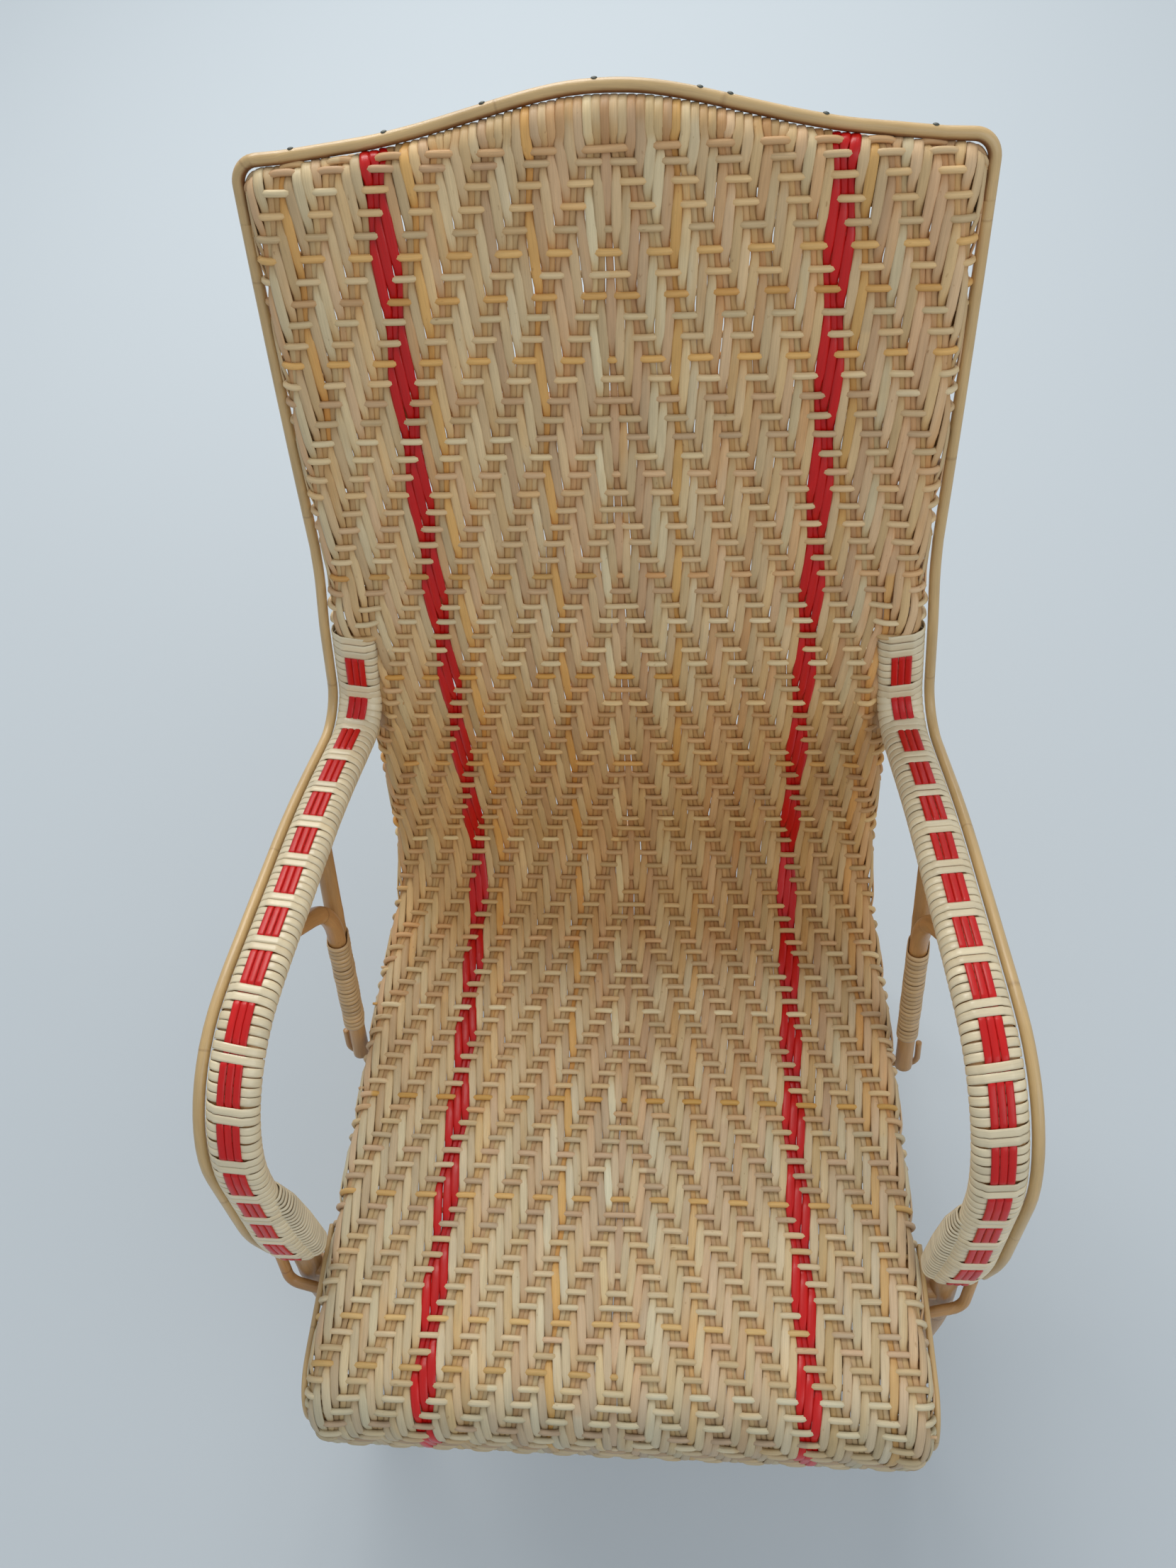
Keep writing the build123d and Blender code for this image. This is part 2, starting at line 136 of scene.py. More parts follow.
def crest_rise(x):
    """How far the crest rail's axis stands above its ends."""
    outline_x = [0, 24, 48, 110, 140, 212]
    outline_up = [33.5, 32.4, 28.2, 13.8, 8.0, 0.0]
    wide = np.linspace(-260, 260, 521)
    return np.interp(x, wide, softened(np.interp(abs(wide), outline_x, outline_up), 20))


def crest_s(x):
    """The length along s at which the mat meets the crest rail."""
    return -(CREST_UP + crest_rise(x) - UP_SHIFT)


def mat_point(u, s, lift):
    """A point on the mat: u across it, s along it, lift out of it. Also its normal."""
    u, s, lift = np.broadcast_arrays(np.asarray(u, float), np.asarray(s, float), np.asarray(lift, float))
    side = np.sign(u)
    edge = rail_x(s)
    past = np.maximum(abs(u) - edge, 0)
    turn = np.minimum(past / WRAP_RADIUS, math.pi)
    tuck = np.maximum(past - HALF_WRAP, 0)
    settle = (MAT_DEPTH - RAIL_DEPTH + WRAP_RADIUS) * smooth((edge - abs(u)) / SETTLE_LENGTH)
    # the mat bulges outward where the arm's root meets it
    bulge = 3.5 * smooth((s + 320) / 40) * smooth((-255 - s) / 10) * smooth((abs(u) - 180) / 25)
    x = np.where(past > 0, edge + WRAP_RADIUS * np.sin(turn) - tuck, abs(u)) + bulge
    depth = RAIL_DEPTH - WRAP_RADIUS * np.cos(turn) + settle
    depth = depth - (WRAP_RADIUS + TUCK_RISE) * smooth(tuck / 26)
    # over the crest rail at the top and round the lower rail at the end
    top = crest_s(x)
    over_top, over_end = np.maximum(top - s, 0), np.maximum(s - TAIL_RAIL_S, 0)
    near_top, near_end = smooth((s - top) / SETTLE_LENGTH), smooth((TAIL_RAIL_S - s) / SETTLE_LENGTH)
    ends = np.where(past > 0, 1.0, np.minimum(near_top, near_end))
    depth = np.where(past > 0, depth, RAIL_DEPTH - WRAP_RADIUS + (depth - RAIL_DEPTH + WRAP_RADIUS) * ends)
    over = over_top + over_end
    radius = RAIL_DEPTH - depth
    bend = np.minimum(over / WRAP_RADIUS, math.pi)
    back = np.maximum(over - HALF_WRAP, 0)
    way = np.where(over_top > 0, -1.0, 1.0)
    base = np.where(over_top > 0, top, np.minimum(s, TAIL_RAIL_S))
    s_here = np.where(over > 0, base + way * (radius * np.sin(bend) - back), s)
    wrapped = RAIL_DEPTH - radius * np.cos(bend) - (radius + TUCK_RISE) * smooth(back / 28)
    d_here = np.where(over > 0, wrapped, depth)
    place, travel, out = profile(s_here)
    normal_yz = out * np.cos(bend)[..., None] + travel * (way * np.sin(bend))[..., None]
    across = (np.cos(turn))[..., None]
    normal = np.concatenate([(side * np.sin(turn))[..., None], normal_yz * across], -1)
    point = np.concatenate([(side * x)[..., None], place - out * d_here[..., None]], -1)
    return point + normal * lift[..., None], normal


# ---------------------------------------------------------------- rows, strands and the weave
LAST_WARP, STRIPE_WARP = 44, 27
RED_WARPS = (26, 27, 28)
ROWS = range(0, 94)
TOP_ROWS = {0: -601.5, 1: -594.0, 2: -583.0}
TOP_PITCH, SEAT_PITCH = 9.0, 11.5
# where every sixth row lies, from row 2 at the crest to row 86 on the front roll
ROW_MARKS = [-583, -504, -423, -342, -261, -181, -100, -19, 50, 119, 188, 257, 326, 395, 464]
LAST_MARKED_ROW = 2 + 6 * (len(ROW_MARKS) - 1)


def row_s(i):
    """Where row i lies along s."""
    if i in TOP_ROWS:
        return TOP_ROWS[i]
    if i > LAST_MARKED_ROW:
        return ROW_MARKS[-1] + (i - LAST_MARKED_ROW) * SEAT_PITCH
    return float(np.interp((i - 2) / 6, range(len(ROW_MARKS)), ROW_MARKS))


ROW_S = np.array([row_s(i) for i in ROWS])


def row_at(s):
    """The fractional row number at s."""
    below = (s - ROW_S[0]) / TOP_PITCH
    above = len(ROW_S) - 1 + (s - ROW_S[-1]) / SEAT_PITCH
    inside = np.interp(s, ROW_S, np.arange(len(ROW_S)))
    return np.where(s < ROW_S[0], below, np.where(s > ROW_S[-1], above, inside))


def warp_places(s):
    """The red stripe's distance from the middle line, and the strands' pitch outside it."""
    stripe = np.interp(s, GRID, STRIPE_X)
    return stripe, (rail_x(s) + 18 - stripe) / (LAST_WARP - STRIPE_WARP)


def warp_u(j, s):
    """Where a warp strand lies across the mat."""
    stripe, pitch = warp_places(s)
    n = abs(j)
    inside, outside = stripe * n / STRIPE_WARP, stripe + (n - STRIPE_WARP) * pitch
    return np.sign(j) * np.where(n <= STRIPE_WARP, inside, outside)


def warp_number(u, s):
    """The fractional strand number at u, the inverse of warp_u."""
    stripe, pitch = warp_places(s)
    n = abs(u)
    return np.where(n <= stripe, n * STRIPE_WARP / stripe, STRIPE_WARP + (n - stripe) / pitch)


WAVE_STEEP = 2.1


def wave(q):
    """1 where the warp lies on top, -1 where the weft does. q counts strands from the chevron."""
    w = np.sin(math.pi * (np.mod(q + 0.5, 6) - 3) / 3)
    return np.tanh(WAVE_STEEP * w) / math.tanh(WAVE_STEEP)


def lean(q):
    """How far a float leans out at its top and in at its foot."""
    q = np.mod(q + 0.5, 6) - 0.5
    return np.where(q > 2.5, (q - 4) / 1.5, -(q - 1) / 1.5)


def under_arm(x, s):
    """How far the strands rise to meet the arm's root, and give way behind it."""
    beside = smooth((abs(x) - np.interp(s, [-280, -170], [186, 194])) / 9)
    above = smooth((s + 312) / 40) * smooth((-257 - s) / 6)
    behind = smooth((s + 261) / 8) * smooth((-152 - s) / 22)
    return beside * (2.6 * above - 7.5 * behind)


# ---------------------------------------------------------------- mesh building
def lengths_along(path):
    """The length along a path at each of its points."""
    return np.concatenate([[0], np.cumsum(np.linalg.norm(np.diff(path, axis=0), axis=1))])


class Piece:
    """Gathers strands into one mesh. Each vertex carries its grain place and its strand's colour."""

    def __init__(self):
        self.points, self.faces, self.grain, self.tint = [], [], [], []
        self.count = 0

    def grid(self, points, grain, tint, closed_rows):
        """Adds a tube of n rings of m points, which closes on itself or has a cap at each end."""
        n, m = points.shape[:2]
        i, k = np.meshgrid(np.arange(n if closed_rows else n - 1), np.arange(m), indexing="ij")
        a, b = i * m + k, i * m + (k + 1) % m
        nxt = (i + 1) % n
        c, d = nxt * m + (k + 1) % m, nxt * m + k
        quads = np.stack([a, b, c, d], -1).reshape(-1, 4) + self.count
        self.faces.extend(quads.tolist())
        if not closed_rows:
            self.faces.append([self.count + v for v in range(m)][::-1])
            self.faces.append([self.count + (n - 1) * m + v for v in range(m)])
        self.points.append(points.reshape(-1, 3))
        self.grain.append(grain.reshape(-1, 3))
        tint = np.asarray(tint, float)
        if tint.ndim < 3:
            tint = np.broadcast_to(tint, (n, 3))[:, None]
        self.tint.append(np.broadcast_to(tint, (n, m, 3)).reshape(-1, 3))
        self.count += n * m

    def strand(self, path, normal, width, thick, sides, tint, seed, width_scale=1.0, closed=False, flat=1.0):
        """A strand of oval section along path, thick along normal. flat over 1 squares the section."""
        ahead = np.roll(path, -1, 0) - np.roll(path, 1, 0)
        if not closed:
            ahead[0], ahead[-1] = path[1] - path[0], path[-1] - path[-2]
        ahead = unit(ahead)
        across = unit(np.cross(ahead, normal))
        up = np.cross(across, ahead)
        angle = 2 * math.pi * (np.arange(sides) + 0.5) / sides
        ca = np.sign(np.cos(angle)) * abs(np.cos(angle)) ** (1 / flat)
        sa = np.sign(np.sin(angle)) * abs(np.sin(angle)) ** (1 / flat)
        half_wide = width / 2 * np.broadcast_to(np.asarray(width_scale, float), (len(path),))
        half_thick = np.broadcast_to(np.asarray(thick, float), (len(path),)) / 2
        w = half_wide[:, None, None] * ca[None, :, None]
        t = half_thick[:, None, None] * sa[None, :, None]
        points = path[:, None] + across[:, None] * w + up[:, None] * t
        # each strand takes its own place in the grain's noise
        shift = (seed * 7.31) % 97
        grain = np.zeros(points.shape)
        grain[..., 0] = lengths_along(path)[:, None] + shift * 13
        grain[..., 1] = width / 2 * ca[None] + shift * 3
        grain[..., 2] = float(np.mean(thick)) / 2 * sa[None] + shift
        self.grid(points, grain, tint, closed)

    def build(self, name, material, slot, replaces=()):
        """Makes the object with its material, and hides the CAD nodes that it stands for; slot is not used.
        """
        mesh = bpy.data.meshes.new(name)
        points = np.concatenate(self.points) * MM
        mesh.from_pydata(points.tolist(), [], self.faces)
        tint = np.concatenate(self.tint)
        colour = mesh.attributes.new("Tint", "FLOAT_COLOR", "POINT")
        opaque = np.hstack([tint, np.ones((len(tint), 1))])
        colour.data.foreach_set("color", opaque.astype(np.float32).ravel())
        grain = mesh.attributes.new("Grain", "FLOAT_VECTOR", "POINT")
        grain.data.foreach_set("vector", np.concatenate(self.grain).astype(np.float32).ravel())
        mesh.polygons.foreach_set("use_smooth", [True] * len(mesh.polygons))
        mesh.materials.append(material)
        mesh.validate()
        obj = bpy.data.objects.new(name, mesh)
        bpy.context.scene.collection.objects.link(obj)
        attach(obj, "root")
        if replaces:
            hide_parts(*replaces)


def srgb(r, g, b):
    """A linear colour from its 8-bit values."""
    c = np.array([r, g, b]) / 255
    return np.where(c <= 0.04045, c / 12.92, ((c + 0.055) / 1.055) ** 2.4)


GREIGE, PINKISH = srgb(214, 184, 138), srgb(208, 168, 126)
HONEY, CREAM = srgb(218, 164, 84), srgb(226, 206, 164)
RED, SHADED_RED = srgb(200, 14, 10), srgb(150, 6, 6)
POLE_TAN, TRIM_TAN, WRAP_CREAM = srgb(184, 138, 84), srgb(204, 170, 116), srgb(228, 212, 178)


# painted shade: a strand is darker and warmer where it dives under its neighbours, and this much is added
# back where it lies on top
UNDER_SHADE, TOP_GAIN = np.array([0.90, 0.80, 0.66]), np.array([0.10, 0.20, 0.34])


def painted_shade_and_tone(tints, s):
    """Painted shade and warm bounce light: darker and more golden in the crease and on the lower back, darker
    on the front roll that faces away from the light; greyer on the seat.
    """
    near = smooth((s + 300) / 170) * smooth((130 - s) / 110)
    on_seat = smooth((s - 150) / 120)
    on_roll = smooth((s - 415) / 45)
    # painted shade in the crease and under the arms, warmed like bounce light
    tints = tints * (1 - near[:, None] * np.array([0.10, 0.22, 0.40]))
    tints = tints * (1 + on_seat[:, None] * np.array([-0.04, 0.06, 0.20]))
    # painted shade on the front roll, which faces away from the light
    return tints * (1 - on_roll[:, None] * np.array([0.20, 0.17, 0.14]))


def strand_colour(rng):
    """One strand's colour: one of four kinds of reed, lighter or darker, with a touch of another."""
    kind = rng.random()
    base = GREIGE if kind < 0.50 else PINKISH if kind < 0.78 else CREAM if kind < 0.90 else HONEY
    other = (GREIGE, PINKISH, HONEY, CREAM)[rng.integers(4)]
    mixed = base * 0.78 + other * 0.22
    return mixed * (0.86 + 0.26 * rng.random())


# ---------------------------------------------------------------- materials
def material(name, roughness, streak, blotch, bump, coat=0.0, rings=0.0, spots=0.0, spec=0.5):
    """Cane or reed: the strand's own colour, streaked along its grain, with blotches, spots and nodes."""
    mat = bpy.data.materials.new(name)
    mat.use_nodes = True
    nodes, links = mat.node_tree.nodes, mat.node_tree.links
    bsdf = nodes["Principled BSDF"]

    def node(kind, **inputs):
        n = nodes.new(kind)
        for key, value in inputs.items():
            n.inputs[key].default_value = value
        return n

    def noise(vector, scale, detail, rough=0.55):
        n = node("ShaderNodeTexNoise", Scale=scale, Detail=detail, Roughness=rough)
        links.new(vector, n.inputs["Vector"])
        return n.outputs["Fac"]

    def math_node(op, a, b, clamp=False):
        n = nodes.new("ShaderNodeMath")
        n.operation = op
        n.use_clamp = clamp
        for i, v in enumerate((a, b)):
            if isinstance(v, (int, float)):
                n.inputs[i].default_value = v
            else:
                links.new(v, n.inputs[i])
        return n.outputs[0]

    def scaled(vector, x, y, z):
        n = nodes.new("ShaderNodeVectorMath")
        n.operation = "MULTIPLY"
        links.new(vector, n.inputs[0])
        n.inputs[1].default_value = (x, y, z)
        return n.outputs[0]

    def ramped(value, **ends):
        ramp = nodes.new("ShaderNodeMapRange")
        links.new(value, ramp.inputs["Value"])
        for key, end in ends.items():
            ramp.inputs[key.replace("_", " ")].default_value = end
        return ramp.outputs[0]

    def multiplied(colour, by, factor):
        """Multiplies colour by a fixed one, as far as factor says."""
        mix = nodes.new("ShaderNodeMix")
        mix.data_type = "RGBA"
        mix.blend_type = "MULTIPLY"
        links.new(colour, mix.inputs["A"])
        mix.inputs["B"].default_value = by
        links.new(factor, mix.inputs["Factor"])
        return mix.outputs["Result"]

    def tone(colour, factor, low, high):
        """Multiplies colour by a value that runs from low to high with factor."""
        n = nodes.new("ShaderNodeVectorMath")
        n.operation = "SCALE"
        links.new(colour, n.inputs[0])
        links.new(ramped(factor, From_Min=0.25, From_Max=0.75, To_Min=low, To_Max=high), n.inputs["Scale"])
        return n.outputs[0]

    tint = node("ShaderNodeAttribute")
    tint.attribute_name = "Tint"
    grain = node("ShaderNodeAttribute")
    grain.attribute_name = "Grain"
    fine = noise(scaled(grain.outputs["Vector"], 0.045, 1.5, 1.5), 1.0, 5.0, 0.7)
    broad = noise(scaled(grain.outputs["Vector"], 0.018, 0.12, 0.12), 1.0, 3.0)
    colour = tone(tint.outputs["Color"], fine, 1 - streak, 1 + streak * 0.7)
    colour = tone(colour, broad, 1 - blotch, 1 + blotch * 0.6)
    patch = noise(scaled(grain.outputs["Vector"], 0.011, 0.05, 0.05), 1.0, 2.0)
    warmth = ramped(patch, From_Min=0.55, From_Max=0.75, To_Max=0.7 if spots else 0.25)
    colour = multiplied(colour, (1.0, 0.80, 0.55, 1.0), warmth)
    if spots:
        dark = noise(scaled(grain.outputs["Vector"], 0.16, 0.3, 0.3), 1.0, 2.0)
        mask = ramped(dark, From_Min=0.70, From_Max=0.80)
        colour = multiplied(colour, (0.52, 0.38, 0.25, 1.0), math_node("MULTIPLY", mask, spots))
    height = math_node("ADD", fine, math_node("MULTIPLY", broad, 0.5))
    if rings:
        # the nodes of a cane: a narrow dark ring now and then along its length
        place = nodes.new("ShaderNodeSeparateXYZ")
        links.new(grain.outputs["Vector"], place.inputs[0])
        wobble = noise(scaled(grain.outputs["Vector"], 0.004, 0.0, 0.0), 1.0, 1.0)
        spaced = math_node("MULTIPLY", place.outputs["X"], 1 / NODE_SPACING)
        phase = math_node("ADD", spaced, math_node("MULTIPLY", wobble, 1.2))
        near = math_node("ABSOLUTE", math_node("SUBTRACT", math_node("FRACT", phase, 0), 0.5), 0)
        line = math_node("SUBTRACT", 1.0, math_node("MULTIPLY", near, 110), clamp=True)
        collar = math_node("SUBTRACT", 1.0, math_node("MULTIPLY", near, 30), clamp=True)
        colour = multiplied(colour, (0.42, 0.30, 0.20, 1.0), math_node("MULTIPLY", line, rings))
        swollen = math_node("MULTIPLY", math_node("SUBTRACT", collar, line), 1.4)
        height = math_node("ADD", height, swollen)
    links.new(colour, bsdf.inputs["Base Color"])
    rough = ramped(fine, To_Min=roughness - 0.08, To_Max=roughness + 0.14)
    links.new(rough, bsdf.inputs["Roughness"])
    bump_node = node("ShaderNodeBump", Strength=bump, Distance=0.0006)
    links.new(height, bump_node.inputs["Height"])
    links.new(bump_node.outputs[0], bsdf.inputs["Normal"])
    bsdf.inputs["Specular IOR Level"].default_value = spec
    bsdf.inputs["Coat Weight"].default_value = coat
    bsdf.inputs["Coat Roughness"].default_value = 0.16
    return mat


REED = material("woven_reed", 0.52, 0.16, 0.14, 0.4, spots=0.6, coat=0.05, spec=0.35)
RED_REED = material("red_reed", 0.30, 0.16, 0.12, 0.25, coat=0.12, spec=0.35)
POLE = material("cane_pole", 0.42, 0.20, 0.24, 0.5, rings=0.8, coat=0.25, spots=0.5)
ROD = material("strut_cane", 0.40, 0.16, 0.22, 0.4, rings=0.5, coat=0.3, spots=0.4)
TRIM = material("trim_cane", 0.38, 0.12, 0.16, 0.3, rings=0.35, coat=0.3)
WRAP = material("wrap_cane", 0.34, 0.10, 0.12, 0.3, coat=0.35)
NAIL = material("nail_steel", 0.45, 0.2, 0.3, 0.6, spec=0.6)
NAIL.node_tree.nodes["Principled BSDF"].inputs["Metallic"].default_value = 0.85

# ---------------------------------------------------------------- the warps
WARP_WIDTH, WARP_THICK, WARP_LIFT, WARP_TUCK = 5.9, 1.9, 1.65, 24.0
warp_pieces = {"left": Piece(), "middle": Piece(), "right": Piece()}
red_piece = Piece()
for j in range(-LAST_WARP, LAST_WARP + 1):
    rng = np.random.default_rng(1000 + j)
    n = abs(j)
    side = np.sign(j) if j else 1
    start = float(crest_s(warp_u(j, -600.0))) - HALF_WRAP - WARP_TUCK
    stop = TAIL_RAIL_S + HALF_WRAP + WARP_TUCK
    s = np.arange(start, stop, 3.9)
    q = n - row_at(s)
    woven = smooth((s - ROW_S[0] + 9) / 7) * smooth((TAIL_RAIL_S + 10 - s) / 10)
    up = wave(q)
    taper = 1.0 + 0.16 * up * woven
    slow = np.sin(s / 61 + rng.random() * 7) + np.sin(s / 23 + rng.random() * 7) * 0.6
    leaning = side * lean(q) * (1.1 + 0.4 * rng.random()) * woven * smooth((n + 0.6) / 4)
    u = warp_u(j, s) + leaning + 0.25 * slow
    amp = WARP_LIFT * (0.9 + 0.2 * rng.random())
    lift = up * amp * woven + 0.9 * (1 - woven) + 0.12 * slow
    lift = lift + under_arm(u, s)
    points, normal = mat_point(u, s, lift)
    is_red = n in RED_WARPS
    tint = strand_colour(rng)
    tints = np.repeat(tint[None], len(s), 0)
    # the colour changes where a new length was let in
    other, let_in = strand_colour(rng), rng.uniform(-500, 500)
    tints = np.where((s > let_in)[:, None], other * 0.6 + tint * 0.4, tints)
    # painted shade where the warp dives under the wefts, and in the crease and on the roll
    tints = painted_shade_and_tone(tints * (UNDER_SHADE + TOP_GAIN * smooth((up + 1) / 2)[:, None]), s)
    if is_red:
        shade = 0.92 + 0.16 * rng.random()
        # painted shade: the red strand is darker where it dives under the wefts
        tints = np.where((up > -0.2)[:, None], RED, RED * 0.8 + SHADED_RED * 0.2) * shade
    part = "left" if j < -15 else "right" if j > 15 else "middle"
    target = red_piece if is_red else warp_pieces[part]
    width = WARP_WIDTH + (0.0 if is_red else 0.4) * (rng.random() - 0.5)
    target.strand(points, normal, width, WARP_THICK, 8, tints, 50 + j, width_scale=taper, flat=1.25)

# ---------------------------------------------------------------- the wefts
WEFT_SIZE, WEFT_LIFT, WEFT_TUCK = 4.75, 1.35, 22.0
FIRST_SEAT_ROW = 46
weft_pieces = {"back": Piece(), "seat": Piece()}
for i in ROWS:
    rng = np.random.default_rng(3000 + i)
    s0 = ROW_S[i]
    edge = float(rail_x(s0)) + HALF_WRAP + WEFT_TUCK
    u = np.arange(-edge, edge + 1, 1.75)
    phase = rng.random(3) * 7
    s = s0 + 0.45 * np.sin(u / 70 + phase[0]) + 0.3 * np.sin(u / 23 + phase[1])
    over_rail = smooth((abs(u) - rail_x(s) - 12) / 12)
    s = s + over_rail * rng.uniform(-1.0, 1.0)
    q = warp_number(u, s) - i
    down = wave(q)
    flat = 1 - smooth((abs(u) - rail_x(s) - 14) / 10)
    lift = -down * WEFT_LIFT * flat + 0.10 * np.sin(u / 9 + phase[2])
    lift = lift + under_arm(np.minimum(abs(u), 215.0), s)
    points, normal = mat_point(u, s, lift)
    size = WEFT_SIZE + 0.5 * (rng.random() - 0.5)
    first, second, split = strand_colour(rng), strand_colour(rng), rng.uniform(-400, 400)
    tints = np.where((u > split)[:, None], second, first) * 1.04
    # painted shade where the weft dives under the warps, and in the crease and on the roll
    tints = painted_shade_and_tone(tints * (UNDER_SHADE + TOP_GAIN * smooth((1 - down) / 2)[:, None]), s)
    target = weft_pieces["back" if i < FIRST_SEAT_ROW else "seat"]
    target.strand(points, normal, size, size * 0.94, 7, tints, 300 + i)

for name, piece in warp_pieces.items():
    piece.build(f"mat_warps_{name}", REED, "woven_reed", replaces=("woven_mat", "mat_edge"))
for name, piece in weft_pieces.items():
    piece.build(f"mat_wefts_{name}", REED, "woven_reed", replaces=("woven_mat", "mat_edge"))
red_piece.build("mat_red_stripes", RED_REED, "red_strand", replaces=("woven_mat",))


# ---------------------------------------------------------------- bent poles and rods
def back_point(x, up, depth):
    """A point on the back: up along it from the junction, and depth behind the sitting surface."""
    straight = min(up, BACK_START)
    a = RECLINE + (up - straight) / BACK_RADIUS
    bent_y = BACK_RADIUS * (math.cos(RECLINE) - math.cos(a))
    bent_z = BACK_RADIUS * (math.sin(a) - math.sin(RECLINE))
    y = JUNCTION_Y + straight * math.sin(RECLINE) + bent_y + depth * math.cos(a)
    z = JUNCTION_Z + straight * math.cos(RECLINE) + bent_z - depth * math.sin(a)
    return (x, y, z)


def seat_point(x, out, depth):
    """A point on the seat: out along it from the junction, and depth below the sitting surface."""
    y = JUNCTION_Y - out * math.cos(SLOPE) - depth * math.sin(SLOPE)
    z = JUNCTION_Z + out * math.sin(SLOPE) - depth * math.cos(SLOPE)
    return (x, y, z)


def placed(points):
    """Points whose y is counted from the junction."""
    return [(x, JUNCTION_Y + y, z) for x, y, z in points]


def filleted(points, radii, step=4.0):
    """Straight runs joined by tangent arcs, as evenly spaced points."""
    points = [np.array(p, float) for p in points]
    runs = [np.linalg.norm(b - a) for a, b in zip(points, points[1:])]
    turns_at, taken = {}, {0: 0.0, len(points) - 1: 0.0}
    for k in range(1, len(points) - 1):
        a, b = unit(points[k] - points[k - 1]), unit(points[k + 1] - points[k])
        turns_at[k] = math.acos(float(np.clip(a @ b, -1, 1)))
        taken[k] = radii.get(k, 0.0) * math.tan(turns_at[k] / 2)
    out = [points[0]]
    for k, turn in turns_at.items():
        if turn < 1e-4:
            continue
        here = points[k]
        a, b = unit(points[k - 1] - here), unit(points[k + 1] - here)
        room = min(runs[k - 1] - taken[k - 1], runs[k] - taken[k + 1])
        radius = radii.get(k, 0.45 * room / math.tan(turn / 2))
        middle = here + unit(a + b) * radius / math.cos(turn / 2)
        to_vertex, along = -unit(a + b), unit(b - a)
        for t in np.linspace(-turn / 2, turn / 2, 13):
            out.append(middle + radius * (to_vertex * math.cos(t) + along * math.sin(t)))
    out.append(points[-1])
    out = np.array(out)
    length = lengths_along(out)
    keep = np.concatenate([[True], np.diff(length) > 1e-6])
    out, length = out[keep], length[keep]
    even = np.linspace(0, length[-1], max(int(length[-1] / step), 2) + 1)
    return np.stack([np.interp(even, length, out[:, k]) for k in range(3)], -1)


def mirrored(path, side):
    return path * np.array([side, 1, 1])


def rod(piece, path, radius, tint, seed, swell=0.035, sides=16, shaded_toward=None):
    """A cane pole: slightly uneven, with swollen nodes and rounded ends, and painted shade on the side that
    faces a given point.
    """
    rng = np.random.default_rng(seed)
    ahead = unit(np.gradient(path, axis=0))
    steep, level = np.array([0.31, 0.22, 0.92]), np.array([0.93, 0.2, 0.12])
    reference = level if abs(ahead @ steep).max() > 0.93 else steep
    normal = np.broadcast_to(reference, path.shape)
    along = lengths_along(path)
    scale = 1 + swell * 0.35 * np.sin(along / 37 + rng.random() * 6)
    for node in np.arange(rng.uniform(30, 130), along[-1], NODE_SPACING):
        scale = scale + swell * np.exp(-(((along - node) / 5) ** 2))
    ends = ahead[[0, -1]] * np.array([[1.0], [-1.0]]) * radius * 0.12
    path = np.concatenate([path[:1], path[:1] + ends[:1], path[1:-1], path[-1:] + ends[1:], path[-1:]])
    scale = np.concatenate([[scale[0] * 0.80], [scale[0]], scale[1:-1], [scale[-1]], [scale[-1] * 0.80]])
    normal = np.concatenate([normal[:1], normal, normal[-1:]])
    # painted shade on the side that faces the given point
    if shaded_toward is not None:
        ahead = unit(np.gradient(path, axis=0))
        across = unit(np.cross(ahead, normal))
        up = unit(np.cross(across, ahead))
        angle = 2 * math.pi * (np.arange(sides) + 0.5) / sides
        ca, sa = np.cos(angle)[None, :, None], np.sin(angle)[None, :, None]
        out = across[:, None] * ca + up[:, None] * sa
        facing = smooth(((out * unit(shaded_toward - path)[:, None]).sum(-1) - 0.15) / 0.5)
        tint = tint * (1 - facing[..., None] * np.array([0.62, 0.78, 0.84]))
    piece.strand(path, normal, radius * 2, radius * 2 * scale, sides, tint, seed, width_scale=scale)


def rod_piece(name, nodes, finish, path, radius, tint, seed, **shape):
    """One rod as a piece of its own, which stands for the CAD nodes named."""
    piece = Piece()
    rod(piece, path, radius, tint, seed, **shape)
    piece.build(name, *finish, replaces=nodes)


FRAME, STRUT, EDGE = (POLE, "frame_pole"), (ROD, "strut_rod"), (TRIM, "trim_rod")


def rail_path(outward, depth):
    """The side rail's line, moved outward from its axis and set to a depth below the mat."""
    points = [
        back_point(CREST_HALF + outward, CREST_UP, depth),
        back_point(CREST_HALF + outward, 440, depth),
        back_point(208 + outward, 295, depth),
        back_point(198 + outward, 150, depth),
        (203 + outward, *crease_yz(depth)),
        seat_point(208 + outward, 130, depth),
        roll_vertex(212 + outward, depth),
        (212 + outward, JUNCTION_Y - FRONT_REACH + depth, 300),
    ]
    return filleted(points, {4: CREASE_RADIUS + depth, 6: ROLL_RADIUS - depth})


def crease_yz(depth):
    """Where the lines of the back and the seat meet at a depth below the mat."""
    leg = depth * math.tan(CREASE_TURN / 2)
    y = JUNCTION_Y + depth * math.cos(RECLINE) - leg * math.sin(RECLINE)
    z = JUNCTION_Z - depth * math.sin(RECLINE) - leg * math.cos(RECLINE)
    return (y, z)


def roll_vertex(x, depth):
    """Where the seat's line meets the upright line of the front roll."""
    return seat_point(x, (FRONT_REACH - depth * (1 + math.sin(SLOPE))) / math.cos(SLOPE), depth)


def crest_path(out_by, end_x):
    """Along the crest, moved outward, to 16 mm short of its ends."""
    x = np.linspace(-end_x + 16, end_x - 16, 61)
    line = [back_point(v, CREST_UP + crest_rise(v) + out_by, RAIL_DEPTH) for v in x]
    return np.array(line)


